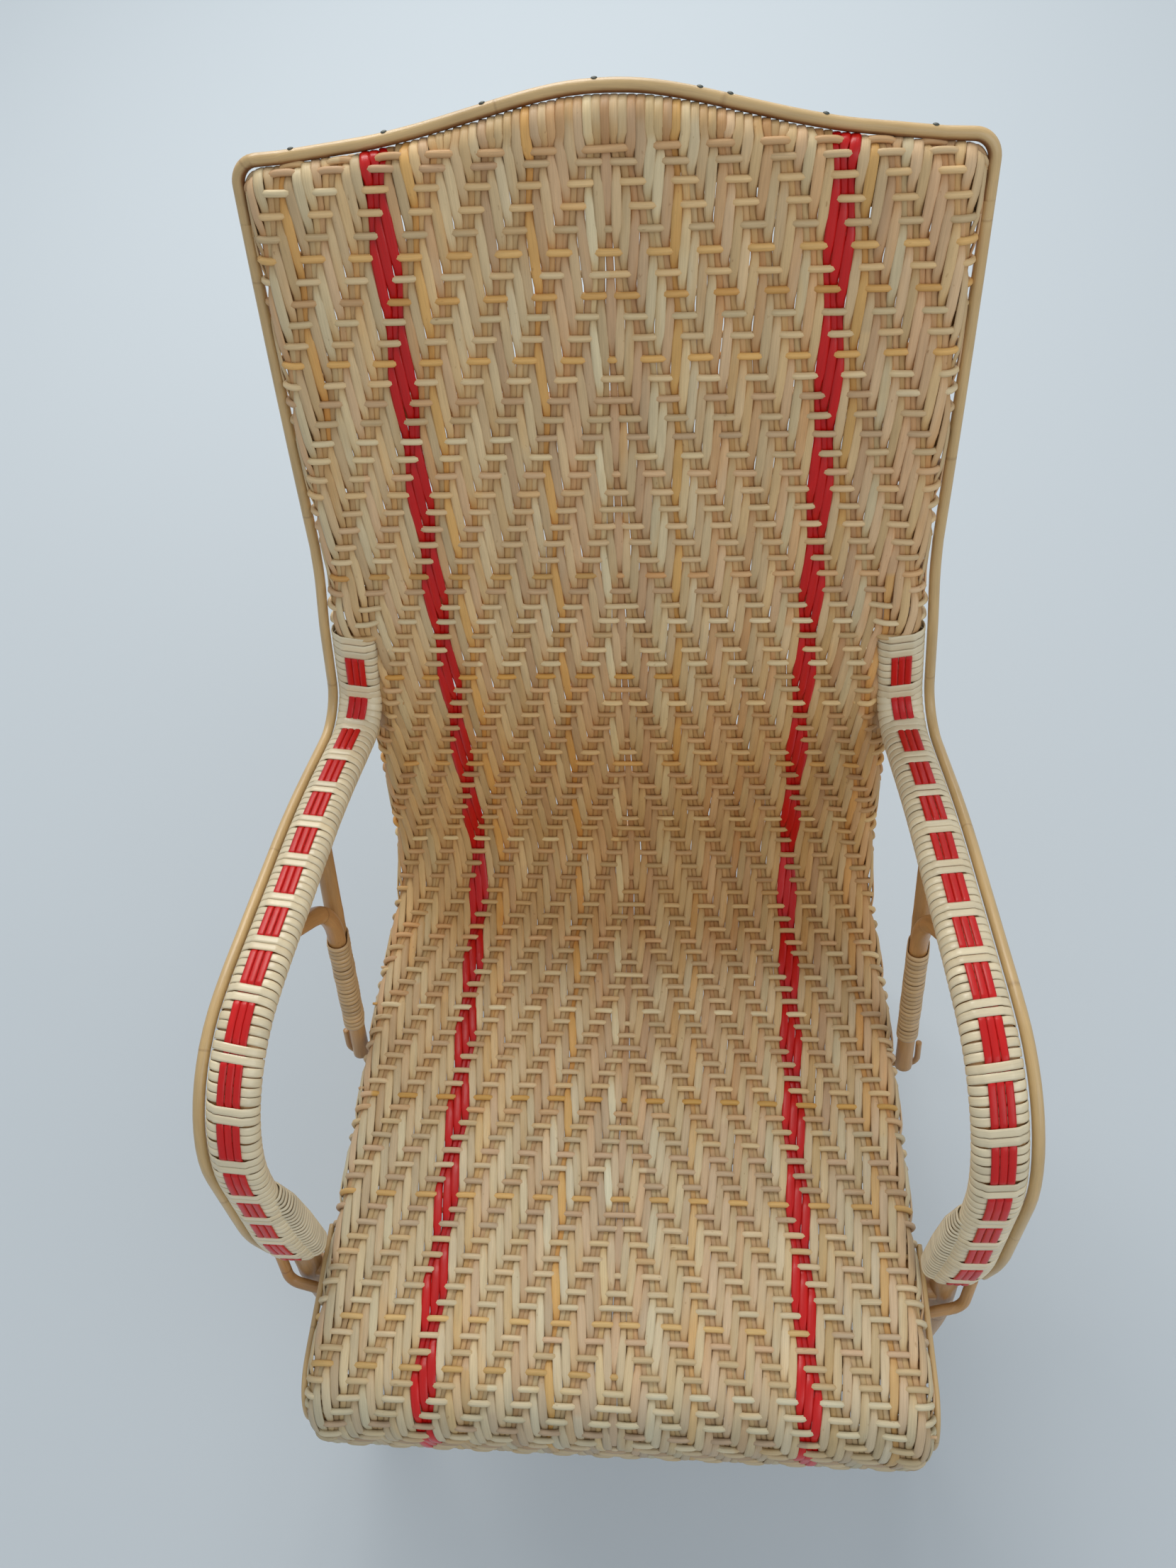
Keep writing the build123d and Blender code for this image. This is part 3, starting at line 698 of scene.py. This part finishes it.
for side, name in ((-1, "left"), (1, "right")):
    line = mirrored(rail_path(0, RAIL_DEPTH), side)
    rod_piece(f"rail_{name}", (f"side_rail_{name}",), FRAME, line, RAIL_RADIUS, POLE_TAN, 11 + side)

crest_ends = [back_point(end * CREST_HALF, CREST_UP, RAIL_DEPTH) for end in (-1, 1)]
crest_line = [crest_ends[0], *(tuple(p) for p in crest_path(0, 210)), crest_ends[1]]
rod_piece("crest", ("crest_rail",), FRAME, filleted(crest_line, {}, 6.0), RAIL_RADIUS, POLE_TAN, 21)

CROSS_DEPTH, CROSS_RADIUS = 17.5, 9.0
cross = {
    "back_upper_rail": (back_point, 200, 450),
    "back_middle_rail": (back_point, 198, 300),
    "back_lower_rail": (back_point, 192, 100),
    "seat_rear_rail": (seat_point, 197, 60),
    "seat_middle_rail": (seat_point, 201, 225),
    "seat_front_rail": (seat_point, 203, 405),
}
for k, (name, (spot_at, reach, along)) in enumerate(cross.items()):
    line = filleted([spot_at(-reach, along, CROSS_DEPTH), spot_at(reach, along, CROSS_DEPTH)], {}, 8.0)
    rod_piece(name + "_cane", (name,), FRAME, line, CROSS_RADIUS, POLE_TAN * (0.9 + 0.04 * k), 31 + k)
lower_y = JUNCTION_Y - FRONT_REACH + RAIL_DEPTH
line = filleted([(-212, lower_y, TAIL_RAIL_Z), (212, lower_y, TAIL_RAIL_Z)], {}, 8.0)
rod_piece("lower_front_cane", ("lower_front_rail",), FRAME, line, RAIL_RADIUS, POLE_TAN, 41)

# ---------------------------------------------------------------- legs and stretchers
FRONT_LEG = placed([(241, -336.2, 452), (242, -340.8, 400), (248, -358, 300), (252.7, -374.9, 0)])
REAR_LEG = placed([(200, 82, 540), (203, 52, 405), (214.4, 92, 0)])
SIDE_LEVEL, STRETCHER_LEVEL = 128, 165
STRETCHER_RADIUS = 7.5


def leg_spot(points, level):
    """Where the leg's last run passes a level."""
    upper, lower_end = np.array(points[-2]), np.array(points[-1])
    return upper + (lower_end - upper) * (upper[2] - level) / (upper[2] - lower_end[2])


def turns(piece, centre_line, radius, cane, tint, seed):
    """Turns of flat cane round a line, at a radius from it."""
    rng = np.random.default_rng(seed)
    length = lengths_along(centre_line)
    total = int(length[-1] / cane)
    for k in range(total):
        t = (k + 0.5) / total * length[-1]
        angle = np.linspace(0, 2 * math.pi, 29)[:-1]
        at = t + cane * (angle / (2 * math.pi) - 0.5) * 0.6 + rng.uniform(-0.25, 0.25)
        at = np.clip(at, 0, length[-1])
        centre = np.stack([np.interp(at, length, centre_line[:, c]) for c in range(3)], -1)
        last = len(centre_line) - 1
        near = int(k / total * last)
        ahead = unit(centre_line[min(near + 1, last)] - centre_line[max(near - 1, 0)])
        first = unit(np.cross(ahead, [0.1, 0.2, 0.97] if abs(ahead[2]) < 0.9 else [1.0, 0.1, 0.0]))
        second = np.cross(ahead, first)
        out = first * np.cos(angle)[:, None] + second * np.sin(angle)[:, None]
        path = centre + out * (radius + rng.uniform(-0.12, 0.2))
        colour = tint * (0.90 + 0.16 * rng.random())
        piece.strand(path, out, cane * 0.96, 1.3, 6, colour, seed + k, closed=True)


for side, name in ((-1, "left"), (1, "right")):
    for leg_name, points, seed in (("front_leg", FRONT_LEG, 51), ("rear_leg", REAR_LEG, 61)):
        node = f"{leg_name}_{name}"
        line = mirrored(filleted(points, {}), side)
        rod_piece(node + "_cane", (node,), FRAME, line, 10.0, POLE_TAN * 0.98, seed + side, swell=0.04)
    node = f"side_stretcher_{name}"
    line = mirrored(filleted([leg_spot(leg, SIDE_LEVEL) for leg in (FRONT_LEG, REAR_LEG)], {}, 8.0), side)
    rod_piece(node + "_cane", (node,), FRAME, line, STRETCHER_RADIUS, POLE_TAN * 1.02, 71 + side)
    ties = Piece()
    for leg in (FRONT_LEG, REAR_LEG):
        ends = [leg_spot(leg, SIDE_LEVEL - 14), leg_spot(leg, STRETCHER_LEVEL + 14)]
        turns(ties, mirrored(filleted(ends, {}, 3.0), side), 11.2, 5.6, WRAP_CREAM * 0.9, 400 + side)
    ties.build(f"leg_bindings_{name}", WRAP, "cane_wrap")

for name, points, level, radius in (
    ("front_stretcher", FRONT_LEG, STRETCHER_LEVEL, STRETCHER_RADIUS),
    ("rear_stretcher", REAR_LEG, STRETCHER_LEVEL, STRETCHER_RADIUS),
    ("front_cross_rail", FRONT_LEG[:3], 343, CROSS_RADIUS),
    ("rear_cross_rail", REAR_LEG, 318, CROSS_RADIUS),
):
    spot = leg_spot(points, level)
    reach = spot[0] - 5
    line = filleted([(-reach, spot[1], level), (reach, spot[1], level)], {}, 8.0)
    rod_piece(name + "_cane", (name,), FRAME, line, radius, POLE_TAN * 1.01, level + len(name))

# ---------------------------------------------------------------- the arms
ARM_TOP = placed([(219, 50.9, 526), (227, -65, 567), (237, -206.7, 595.2), (247, -313, 604)])
ARM_FRONT = placed([(250, -345.7, 420.3), (246, -346, 377)])
ARM = [back_point(210, 275, 7.1), *ARM_TOP, *ARM_FRONT]
arm_line = filleted(ARM, {1: 32.0, 4: 96.0}, 1.0)
arm_length = lengths_along(arm_line)
arm_ahead = unit(np.gradient(arm_line, axis=0))
arm_side = unit(np.array([1.0, 0, 0]) - arm_ahead * arm_ahead[:, :1])
arm_up = np.cross(arm_ahead, arm_side)
# the core is two poles side by side, each CORE_STRAIGHT from the middle
CORE_HALF, CORE_STRAIGHT = 8.1, 8.6
CANE_THICK = 1.3
GROUP, OVER = 6, 2
UPPER_GROUP, LOWER_GROUP = 42.0, 36.8
RED_WIDTH, RED_RISE = 5.2, 1.35
TRIM_OUT, TRIM_RADIUS = 18.2, 4.0
TRIM_X = CREST_HALF + TRIM_OUT


def on_arm(at, x, y):
    """A point at a length along the arm, x across it and y out of its top."""
    at = np.clip(at, 0, arm_length[-1])

    def take(field):
        return np.stack([np.interp(at, arm_length, field[:, c]) for c in range(3)], -1)

    side_v, up_v = unit(take(arm_side)), unit(take(arm_up))
    place = take(arm_line) + side_v * np.asarray(x)[..., None] + up_v * np.asarray(y)[..., None]
    return place, side_v, up_v


def turn_place(k):
    """Where turn k of the wrap lies along the arm: the turns are wider apart above the elbow."""
    group = (k - 5.5) / GROUP
    return 36 + UPPER_GROUP * np.minimum(group, 3) + LOWER_GROUP * np.maximum(group - 3, 0)


def turn_is_over(k):
    """Whether turn k passes over the red strands: the first few do, then two in each group."""
    return k < 4 or (k - 2) % GROUP < OVER


def slot_outline(t, half, straight):
    """Round a slot-shaped section from the middle of its underside: place and outward normal."""
    perimeter = 4 * straight + 2 * math.pi * half
    d = t * perimeter
    x, y, nx, ny = (np.zeros_like(d) for _ in range(4))
    limits = np.cumsum([straight, math.pi * half, 2 * straight, math.pi * half, straight])
    flat1, arc1 = d < limits[0], (d >= limits[0]) & (d < limits[1])
    flat2, arc2 = (d >= limits[1]) & (d < limits[2]), (d >= limits[2]) & (d < limits[3])
    flat3 = d >= limits[3]
    x[flat1], y[flat1], ny[flat1] = d[flat1], -half, -1
    a = (d[arc1] - limits[0]) / half - math.pi / 2
    nx[arc1], ny[arc1] = np.cos(a), np.sin(a)
    x[arc1], y[arc1] = straight + half * nx[arc1], half * ny[arc1]
    x[flat2], y[flat2], ny[flat2] = straight - (d[flat2] - limits[1]), half, 1
    a = (d[arc2] - limits[2]) / half + math.pi / 2
    nx[arc2], ny[arc2] = np.cos(a), np.sin(a)
    x[arc2], y[arc2] = -straight + half * nx[arc2], half * ny[arc2]
    x[flat3], y[flat3], ny[flat3] = -straight + (d[flat3] - limits[3]), -half, -1
    return x, y, nx, ny


TURNS = 23 + int((arm_length[-1] - 4 - turn_place(23.5)) / (LOWER_GROUP / GROUP))
for side, name in ((-1, "left"), (1, "right")):
    wrap = Piece()
    rng = np.random.default_rng(70 + side)
    t = np.linspace(0, 1, 49)[:-1]
    for k in range(1, TURNS + 1):
        x, y, nx, ny = slot_outline(t, CORE_HALF + CANE_THICK / 2, CORE_STRAIGHT)
        raised = (RED_RISE if turn_is_over(k) else 0.0) * (1 - smooth((abs(x) - 8.4) / 3.2)) * (y > 0)
        here = turn_place(k + (t - 0.5) * 0.9) + rng.uniform(-0.2, 0.2)
        place, side_v, up_v = on_arm(here, x, y + raised + rng.uniform(-0.08, 0.12))
        normal = side_v * nx[:, None] + up_v * ny[:, None]
        cane = (turn_place(k + 1.0) - turn_place(float(k))) * 0.97
        colour = WRAP_CREAM * (0.90 + 0.14 * rng.random()) * (1, 0.985, 0.95)
        place, normal = mirrored(place, side), mirrored(normal, side)
        wrap.strand(place, normal, cane, CANE_THICK, 8, colour, 90 + k, closed=True, flat=1.35)
    wrap.build(f"arm_cane_{name}", WRAP, "cane_wrap", replaces=(f"arm_wrap_{name}",))

    red = Piece()
    at = np.arange(6.0, turn_place(TURNS - 0.3), 1.4)
    counted = np.arange(0, TURNS + 2, 0.25)
    number = np.interp(at, turn_place(counted), counted)
    from_middle = abs(np.mod(number - 5.5 + GROUP / 2, GROUP) - GROUP / 2)
    hidden = np.maximum(smooth((from_middle - 1.85) / 0.35), smooth((3.8 - number) / 0.35))
    height = CORE_HALF + CANE_THICK + 0.55 - RED_RISE * hidden
    for row in (-1, 0, 1):
        place, _, up_v = on_arm(at, row * RED_WIDTH + 0.15 * np.sin(at / 17 + row), height)
        place, up_v = mirrored(place, side), mirrored(up_v, side)
        red.strand(place, up_v, RED_WIDTH, 1.5, 8, RED * 1.02, 500 + row, flat=1.2)
    red.build(f"arm_red_{name}", RED_REED, "red_strand", replaces=(f"arm_inlay_{name}",))

    core = Piece()
    at = np.arange(8.0, arm_length[-1], 4.0)
    for offset in (-CORE_STRAIGHT, CORE_STRAIGHT):
        place = on_arm(at, offset, 0.0)[0]
        rod(core, mirrored(place, side), 7.7, POLE_TAN, 81 + int(offset))
    core.build(f"arm_poles_{name}", *FRAME, replaces=(f"arm_pole_inner_{name}", f"arm_pole_outer_{name}"))

    # one rod runs down the back's side, turns at the arm's root and follows the arm's outer edge
    place = on_arm(np.arange(0, arm_length[-1], 4.0), 23.3, 0.0)[0]
    down_back = np.array([back_point(TRIM_X, up, RAIL_DEPTH) for up in np.arange(585, 340, -6.0)])
    corner = [back_point(TRIM_X, 345, RAIL_DEPTH), back_point(229.6, 320, 12.6), place[0], place[3]]
    line = mirrored(np.concatenate([down_back, filleted(corner, {}, 3.0)[2:-4], place[3:]]), side)
    nodes = (f"back_trim_{name}", f"arm_trim_{name}")
    rod_piece(f"side_trim_{name}", nodes, EDGE, line, TRIM_RADIUS, TRIM_TAN, 87 + side, swell=0.012, sides=12)

# ---------------------------------------------------------------- struts, bindings and front joints
POST = placed([(227, -76, 568), (229.5, -117, 472), (233.5, -172, 328)])
knee, foot = np.array(POST[1]), np.array(POST[2])
down = unit(foot - knee)
beside = np.array([-3.0, -12.6, 4.9])
brace_end = knee + beside * 0.72 + (foot - knee) * 0.66
brace_points = [*placed([(238, -188, 592)]), knee + beside - down * 34, brace_end]
STRUT_RADIUS = 7.0
BINDING_CANE, JOINT_CANE = 4.6, 5.0
JOINT_START = 384
BINDING_TAN = WRAP_CREAM * 0.15 + TRIM_TAN * 0.35 + POLE_TAN * 0.5
# the joint's sections: level, centre x and y, width and depth
JOINT = [
    (382, 244.0, -342.0, 40.0, 22.0),
    (430, 243.5, -337.0, 38.0, 22.0),
    (470, 243.5, -333.0, 35.0, 19.0),
    (500, 247.5, -330.5, 34.0, 15.0),
]


def joint_outline(level, angle):
    """Round the joint's rounded-oblong section: place and outward normal."""
    levels = [row[0] for row in JOINT]
    x, y, w, d = (np.interp(level, levels, [row[c] for row in JOINT]) for c in range(1, 5))
    ca, sa = np.cos(angle), np.sin(angle)
    power = 2 / 3.2
    px = np.sign(ca) * abs(ca) ** power * w / 2
    py = np.sign(sa) * abs(sa) ** power * d / 2
    place = np.stack([x + px, JUNCTION_Y + y + py, level], -1)
    ahead = np.roll(place, -1, 0) - np.roll(place, 1, 0)
    return place, unit(np.stack([ahead[:, 1], -ahead[:, 0], np.zeros_like(ca)], -1))


for side, name in ((-1, "left"), (1, "right")):
    line, tint = mirrored(filleted(POST, {}), side), POLE_TAN * 1.02
    rod_piece(f"post_{name}_cane", (f"arm_post_{name}",), STRUT, line, STRUT_RADIUS, tint, 101 + side)
    line, tint = mirrored(filleted(brace_points, {1: 58.0}, 3.0), side), POLE_TAN * (1.05, 0.98, 0.9)
    rod_piece(f"brace_{name}_cane", (f"arm_brace_{name}",), STRUT, line, STRUT_RADIUS, tint, 111 + side)

    binding = Piece()
    rng = np.random.default_rng(120 + side)
    start, span = knee + (foot - knee) * 0.03, np.linalg.norm(foot - knee) * 0.67
    across = unit(beside - down * (beside @ down))
    lift_v = np.cross(down, across)
    count = int(span / BINDING_CANE)
    t = np.linspace(0, 1, 37)[:-1]
    for k in range(count):
        half_apart = np.linalg.norm(beside) / 2 * (1.0 - 0.28 * k / count)
        half = (7.7 + 0.2 * rng.random()) * (1 + 0.02 * math.sin(k))
        x, y, nx, ny = slot_outline(t, half, half_apart)
        along = (k + 0.5 + (t - 0.5) * 0.8) * BINDING_CANE + rng.uniform(-0.3, 0.3)
        centre = start + across * half_apart
        place = centre + down * along[:, None] + across * x[:, None] + lift_v * y[:, None]
        normal = across * nx[:, None] + lift_v * ny[:, None]
        colour = BINDING_TAN * (0.86 + 0.24 * rng.random())
        place, normal = mirrored(place, side), mirrored(normal, side)
        binding.strand(place, normal, 4.55, 1.3, 6, colour, 600 + k, closed=True)
    binding.build(f"post_binding_{name}_cane", WRAP, "cane_wrap", replaces=(f"post_binding_{name}",))

    tie_points = placed([(244, -160, 352), (246.5, -168, 318), (206, -166, 321)])
    line = mirrored(filleted(tie_points, {1: 12.0}, 2.0), side)
    node = f"post_tie_{name}"
    rod_piece(node + "_cane", (node,), (TRIM, "strut_rod"), line, 2.6, POLE_TAN, 130 + side, sides=10)

    joint = Piece()
    rng = np.random.default_rng(140 + side)
    angle = np.linspace(0, 2 * math.pi, 41)[:-1]
    for k in range(int((JOINT[-1][0] - JOINT_START) / JOINT_CANE)):
        level = JOINT_START + JOINT_CANE * (k + 0.5) + rng.uniform(-0.15, 0.15)
        place, normal = joint_outline(level + 0.8 * np.cos(angle), angle)
        colour = WRAP_CREAM * (0.86 + 0.14 * rng.random())
        place, normal = mirrored(place, side), mirrored(normal, side)
        joint.strand(place, normal, JOINT_CANE * 0.97, 1.5, 6, colour, 700 + k, closed=True)
    joint.build(f"joint_binding_{name}_cane", WRAP, "cane_wrap", replaces=(f"joint_binding_{name}",))

    hook_points = placed([(262, -349, 374), (258, -364, 348), (232, -369, 343)])
    line = mirrored(filleted(hook_points, {1: 12.0}, 2.0), side)
    node = f"joint_hook_{name}"
    rod_piece(node + "_cane", (node,), STRUT, line, 4.3, POLE_TAN * 1.1, 150 + side, sides=12)

    line = rail_path(16.4, RAIL_DEPTH)
    line = mirrored(line[line[:, 1] < JUNCTION_Y - 322], side)
    node = f"seat_trim_{name}"
    rod_piece(node + "_cane", (node,), EDGE, line, 2.4, TRIM_TAN * 0.95, 160 + side, sides=10)

# ---------------------------------------------------------------- crest trim and nails
inner = crest_path(TRIM_OUT, TRIM_X)
left_leg = [back_point(-TRIM_X, CREST_UP + up, RAIL_DEPTH) for up in (-18, TRIM_OUT)]
right_leg = [back_point(TRIM_X, CREST_UP + up, RAIL_DEPTH) for up in (TRIM_OUT, -18)]
left_corner = filleted([*left_leg, tuple(inner[2])], {1: 14.0}, 2.0)
right_corner = filleted([tuple(inner[-3]), *right_leg], {1: 14.0}, 2.0)
line = np.concatenate([left_corner[:-1], inner[2:-2], right_corner[1:]])
# painted shade on the crest trim's lower side, which faces down the back toward the mat
shape = {"swell": 0.02, "sides": 20, "shaded_toward": np.array(back_point(0, 300, RAIL_DEPTH))}
rod_piece("crest_trim_cane", ("crest_trim",), EDGE, line, TRIM_RADIUS, TRIM_TAN, 171, **shape)


def trim_spot(x):
    return np.array(back_point(x, CREST_UP + float(crest_rise(x)) + TRIM_OUT, RAIL_DEPTH))


NAIL_X = (-192.0, -133.0, -72.0, -6.0, 54.5, 72.0, 128.0, 192.0)
NAIL_HEIGHTS, NAIL_RADII = (3.0, 4.1, 4.6, 4.85), np.array((1.9, 2.0, 1.5, 0.5))
NAIL_GREY = srgb(96, 98, 92)
nails = Piece()
for k, x in enumerate(NAIL_X):
    spot = trim_spot(x)
    ahead = trim_spot(x + 1) - spot
    a = RECLINE + (CREST_UP - BACK_START) / BACK_RADIUS
    out = unit(np.cross(unit(ahead), np.array([0, math.cos(a), -math.sin(a)])))
    out = out * np.sign(out[2])
    path = np.array([spot + out * h for h in NAIL_HEIGHTS])
    normal = np.broadcast_to(unit(ahead), path.shape)
    nails.strand(path, normal, 2.0, NAIL_RADII * 2, 12, NAIL_GREY, 180 + k, width_scale=NAIL_RADII)
nails.build("trim_nail_heads", NAIL, "nail_steel", replaces=("trim_nails",))

# ---------------------------------------------------------------- frayed ends of strands at the mat's edges
frays = Piece()
# side, place along s, length and rise
STUBS = ((-1, 92, 4, 0.5), (-1, 128, 5, 0.9), (-1, 205, 3, 0.3), (1, 452, 5, 0.8), (1, 160, 3, 0.4))
for k, (side, s, length, rise) in enumerate(STUBS):
    rng = np.random.default_rng(190 + k)
    base, normal = mat_point(side * (float(rail_x(s)) + 10), s, 1.6)
    out = unit(np.array([side * 1.0, -0.15, rise]))
    t = np.linspace(0, 1, 7)
    droop = np.array([0, 0, -1.5]) * (t**2)[:, None]
    path = base - out * 5 + out * ((length + 5) * t)[:, None] + droop
    normal, colour = np.broadcast_to(normal, path.shape), strand_colour(rng)
    frays.strand(path, normal, 3.6, 2.4, 7, colour, 195 + k, width_scale=1 - 0.35 * t)
frays.build("frayed_ends", REED, "woven_reed")

# ---------------------------------------------------------------- floor, light and camera
floor_mesh = bpy.data.meshes.new("floor")
FLOOR_HALF = 6.0
floor_corners = [(x * FLOOR_HALF, y * FLOOR_HALF, 0) for x, y in ((-1, -1), (1, -1), (1, 1), (-1, 1))]
floor_mesh.from_pydata(floor_corners, [], [(0, 1, 2, 3)])
floor = bpy.data.objects.new("floor", floor_mesh)
bpy.context.scene.collection.objects.link(floor)
cloth = bpy.data.materials.new("floor_cloth")
cloth.use_nodes = True
cloth_shader = cloth.node_tree.nodes["Principled BSDF"]
cloth_shader.inputs["Base Color"].default_value = (0.50, 0.54, 0.565, 1)
cloth_shader.inputs["Roughness"].default_value = 0.95
floor_mesh.materials.append(cloth)

world = bpy.data.worlds.new("studio")
bpy.context.scene.world = world
world.use_nodes = True
background = world.node_tree.nodes["Background"]
background.inputs["Color"].default_value = (0.86, 0.93, 1.0, 1)
background.inputs["Strength"].default_value = 0.60


def aimed(right_v, up_v, away_v, place):
    """The matrix of an object at place that looks along the opposite of away_v."""
    rows = [[right_v[k], up_v[k], away_v[k], place[k]] for k in range(3)]
    return Matrix([*rows, [0, 0, 0, 1]])


def area_light(name, place, aim, size, power, colour):
    """A rectangular light in metres and watts."""
    data = bpy.data.lights.new(name, "AREA")
    data.shape = "RECTANGLE"
    data.size, data.size_y = size
    data.energy = power
    data.color = colour
    lamp = bpy.data.objects.new(name, data)
    bpy.context.scene.collection.objects.link(lamp)
    away = unit(np.array(place) - np.array(aim))
    across = unit(np.cross([0, 0, 1.0], away))
    lamp.matrix_world = aimed(across, np.cross(away, across), away, place)


area_light("window", (-0.5, 1.7, 2.6), (0, 0.2, 0.6), (1.6, 1.2), 40.0, (1.0, 0.98, 0.95))
area_light("far_window", (-0.3, 3.4, 2.2), (0, 2.3, 0), (2.6, 1.0), 34.0, (0.98, 1.0, 1.0))
area_light("fill", (1.6, -1.4, 2.2), (0, 0, 0.4), (2.0, 1.6), 16.0, (0.92, 0.96, 1.0))

# the camera looks steeply down at the chair from in front
camera_data = bpy.data.cameras.new("camera")
camera_data.sensor_fit = "HORIZONTAL"
camera_data.sensor_width = 36.0
camera_data.lens = 37.43
camera = bpy.data.objects.new("camera", camera_data)
bpy.context.scene.collection.objects.link(camera)
yaw, pitch, roll = math.radians(8.81), math.radians(58.13), math.radians(-7.2)
forward = np.array([-math.sin(yaw) * math.cos(pitch), math.cos(yaw) * math.cos(pitch), -math.sin(pitch)])
level_right = unit(np.cross(forward, [0, 0, 1.0]))
level_up = np.cross(level_right, forward)
right = math.cos(roll) * level_right + math.sin(roll) * level_up
top = -math.sin(roll) * level_right + math.cos(roll) * level_up
eye = (0.050, (JUNCTION_Y - 522) * MM, 1.351)
camera.matrix_world = aimed(right, top, -forward, eye)
bpy.context.scene.camera = camera
bpy.context.scene.view_settings.view_transform = "Standard"
